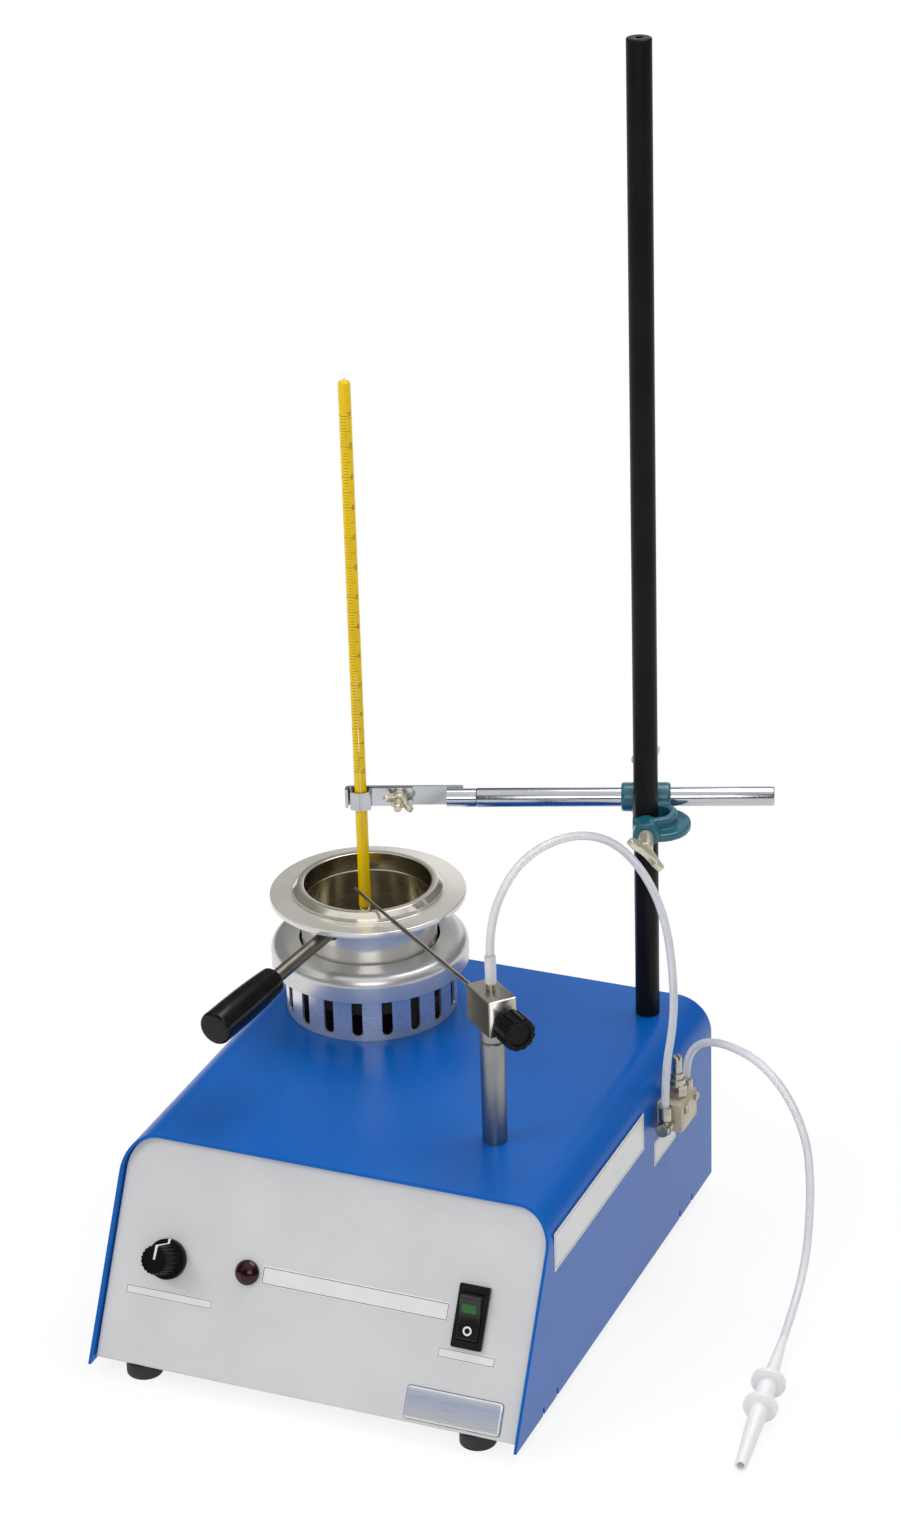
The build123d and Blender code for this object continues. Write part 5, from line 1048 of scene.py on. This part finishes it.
# -------- arm and clamp
# A bright chromed arm slides in the head. The clamp on its left end has a flat plate and a bent jaw, which
# a wing nut draws together round the thermometer.
arm_way = heading(math.radians(19.9))
arm_origin = np.array([84.4, 112.1, 210.0]) + 16 * np.cross((0, 0, 1), arm_way)
chrome = finish(
    "bright_chrome", ((0.46, 0.475, 0.5), (0.53, 0.545, 0.57)), (0.12, 0.17), cloud=60, grain=500, relief=8e-7,
    Metallic=1.0,
)
arm_profile = with_corners([(0, -83.6), (4.8, -83.6, 0.8), (4.8, 63.0, 0.8), (0, 63.0)], steps=3)
dress(turned("chromed_arm", arm_profile, arm_origin, arm_way, (0, 0, 1), around=64), "arm_rod", chrome)
softened("clamp_shank", 0.25, chrome)
softened("clamp_jaw", 0.2, chrome)
softened("clamp_bolt", 0.2, worn_nickel)
cast_copy("wing_nut", 0.25, 4, worn_nickel)

# -------- thermometer
# A glass thermometer with a yellow back: a clear bulb full of mercury, a fine silver thread behind the stem,
# engraved degrees from -10 to 110 with figures that read upwards, and a small glass loop on top.
stem_axis = np.array([-52.948, 78.754, 0.0])
stem_radius = 3.05
stem_foot, stem_top, zero_height, degree = 151.2, 428.5, 241.3, 1.547
stem_right = heading(math.radians(24.67))
stem_front = np.cross(stem_right, (0, 0, 1))
yellow = finish(
    "yellow_backed_glass", ((0.9, 0.59, 0.0), (0.96, 0.64, 0.0)), (0.12, 0.2), cloud=60, grain=300,
    Specular_IOR_Level=0.22, Coat_Weight=0.15, Coat_Roughness=0.03,
)
stem_profile = with_corners(
    [(0, stem_foot), (stem_radius, stem_foot, 0.5), (stem_radius, stem_top, 2.2), (0, stem_top)], steps=8
)
dress(turned("yellow_stem", stem_profile, stem_axis, around=64, sharp=60), "thermometer_stem", yellow)


def on_stem(across, height, lift=0.0):
    """A place on the stem: across is the arc in degrees from its front to the right, lift is off its face."""
    angle = np.radians(across)[..., None]
    return (
        stem_axis
        + (stem_radius + lift) * (np.cos(angle) * stem_front + np.sin(angle) * stem_right)
        + np.asarray(height)[..., None] * upwards
    )


print_brown = finish("scale_print", ((0.045, 0.022, 0.004), (0.085, 0.045, 0.01)), (0.3, 0.45), cloud=900)
mark = np.arange(-10, 111)
long_mark, middle_mark = mark % 10 == 0, mark % 5 == 0
mark_left = np.where(middle_mark, -70.0, -45.0)
mark_right = np.where(long_mark, 22.0, np.where(middle_mark, 38.0, 5.0))
mark_columns = 13
mark_share = np.linspace(0, 1, mark_columns)
mark_across = mark_left[:, None, None] + (mark_right - mark_left)[:, None, None] * mark_share[None, :, None]
mark_across = np.repeat(mark_across, 2, axis=2)
mark_thick = np.where(long_mark, 0.13, 0.1)[:, None, None] * np.array([-1.0, 1.0])
mark_height = (zero_height + degree * mark)[:, None, None] + mark_thick + 0 * mark_across
mark_shift = (np.arange(len(mark)) * 2 * mark_columns)[:, None, None]
mark_faces = (grid_faces(mark_columns, 2) + mark_shift).reshape(-1, 4)
marks = new_piece("stem_degree_marks", on_stem(mark_across, mark_height, 0.01), mark_faces, 80)
add_on(give_wall(marks, 0.03), "thermometer_stem", print_brown)

figure_size, figure_across = 2.55, 44.0
figures = bmesh.new()
for degrees in range(-10, 111, 10):
    words = bpy.data.curves.new("figure", "FONT")
    words.body = str(abs(degrees))
    words.size = figure_size * mm
    words.align_x = words.align_y = "CENTER"
    words.resolution_u = 3
    writing = bpy.data.objects.new("figure", words)
    flat_words = bpy.data.meshes.new_from_object(writing)
    flat_words.transform(Matrix.Translation(((zero_height + degree * degrees) * mm, 0, 0)))
    figures.from_mesh(flat_words)
    bpy.data.objects.remove(writing)
    bpy.data.curves.remove(words)
    bpy.data.meshes.remove(flat_words)
bmesh.ops.remove_doubles(figures, verts=figures.verts, dist=1e-7)
# Cut into narrow bands, so that the letters can bend round the stem.
for cut in np.arange(-1.25, 1.26, 0.25):
    bmesh.ops.bisect_plane(
        figures, geom=figures.verts[:] + figures.edges[:] + figures.faces[:], dist=1e-8, plane_co=(0, cut * mm, 0),
        plane_no=(0, 1, 0),
    )
figure_mesh = bpy.data.meshes.new("stem_figures")
figures.to_mesh(figure_mesh)
figures.free()
# Round the stem: the writing's x becomes the height, and its y an arc to the left of the figures' line.
flat_places = np.empty(len(figure_mesh.vertices) * 3)
figure_mesh.vertices.foreach_get("co", flat_places)
flat_places = flat_places.reshape(-1, 3) / mm
wrapped = on_stem(figure_across - np.degrees(flat_places[:, 1] / stem_radius), flat_places[:, 0], 0.01)
figure_mesh.vertices.foreach_set("co", (wrapped * mm).ravel())
figure_mesh.materials.clear()
add_on(give_wall(put("stem_figures", figure_mesh), 0.03), "thermometer_stem", print_brown)

# The mercury: a thread up to the room's warmth, seen through the front of the stem, and the bulb's filling.
mercury = finish("mercury", ((0.56, 0.55, 0.53), (0.64, 0.63, 0.61)), (0.14, 0.22), cloud=200, Metallic=0.9)
thread_top = 277.5
thread_across = np.linspace(-2.2, 2.2, 5)[None, :] + np.zeros((2, 1))
thread_height = np.array([[stem_foot + 1.0], [thread_top]]) + np.zeros((1, 5))
thread = new_piece("mercury_thread", on_stem(thread_across, thread_height, 0.015), grid_faces(2, 5), 80)
add_on(give_wall(thread, 0.03), "thermometer_stem", mercury)
clear_glass = finish(
    "clear_glass", ((0.96, 0.97, 0.97), (0.98, 0.985, 0.985)), (0.02, 0.04), cloud=60, Transmission_Weight=1.0,
    IOR=1.5,
)
bulb_profile = with_corners([(0, 137.0), (2.7, 137.0, 2.3), (2.7, 151.0, 0.8), (0, 151.0)], steps=8)
bulb = turned("glass_bulb", bulb_profile, stem_axis, around=48, sharp=80)
dress(bulb, "thermometer_glass", clear_glass)
filling_profile = with_corners([(0, 137.6), (2.15, 137.6, 1.9), (2.15, 150.2, 1.6), (0, 150.2)], steps=6)
filling = turned("mercury_in_bulb", filling_profile, stem_axis, around=40, sharp=80)
add_on(filling, "thermometer_glass", mercury)
# The loop on top: a ring of glass whose centre line and cross-section are both circles.
loop_turn, wire_turn = circle(40)[:, None], circle(14)[None, :]
loop_r, wire_r = 1.5, 0.6
loop_reach = loop_r + wire_r * np.cos(wire_turn)
loop_points = (
    stem_axis
    + (loop_reach * np.cos(loop_turn))[..., None] * stem_right
    + (wire_r * np.sin(wire_turn) + 0 * loop_turn)[..., None] * stem_front
    + (stem_top + 1.7 + loop_reach * np.sin(loop_turn))[..., None] * upwards
)
loop = new_piece("glass_top_loop", loop_points, grid_faces(40, 14, close_rows=True, close_columns=True), 80)
dress(loop, "thermometer_glass", clear_glass)
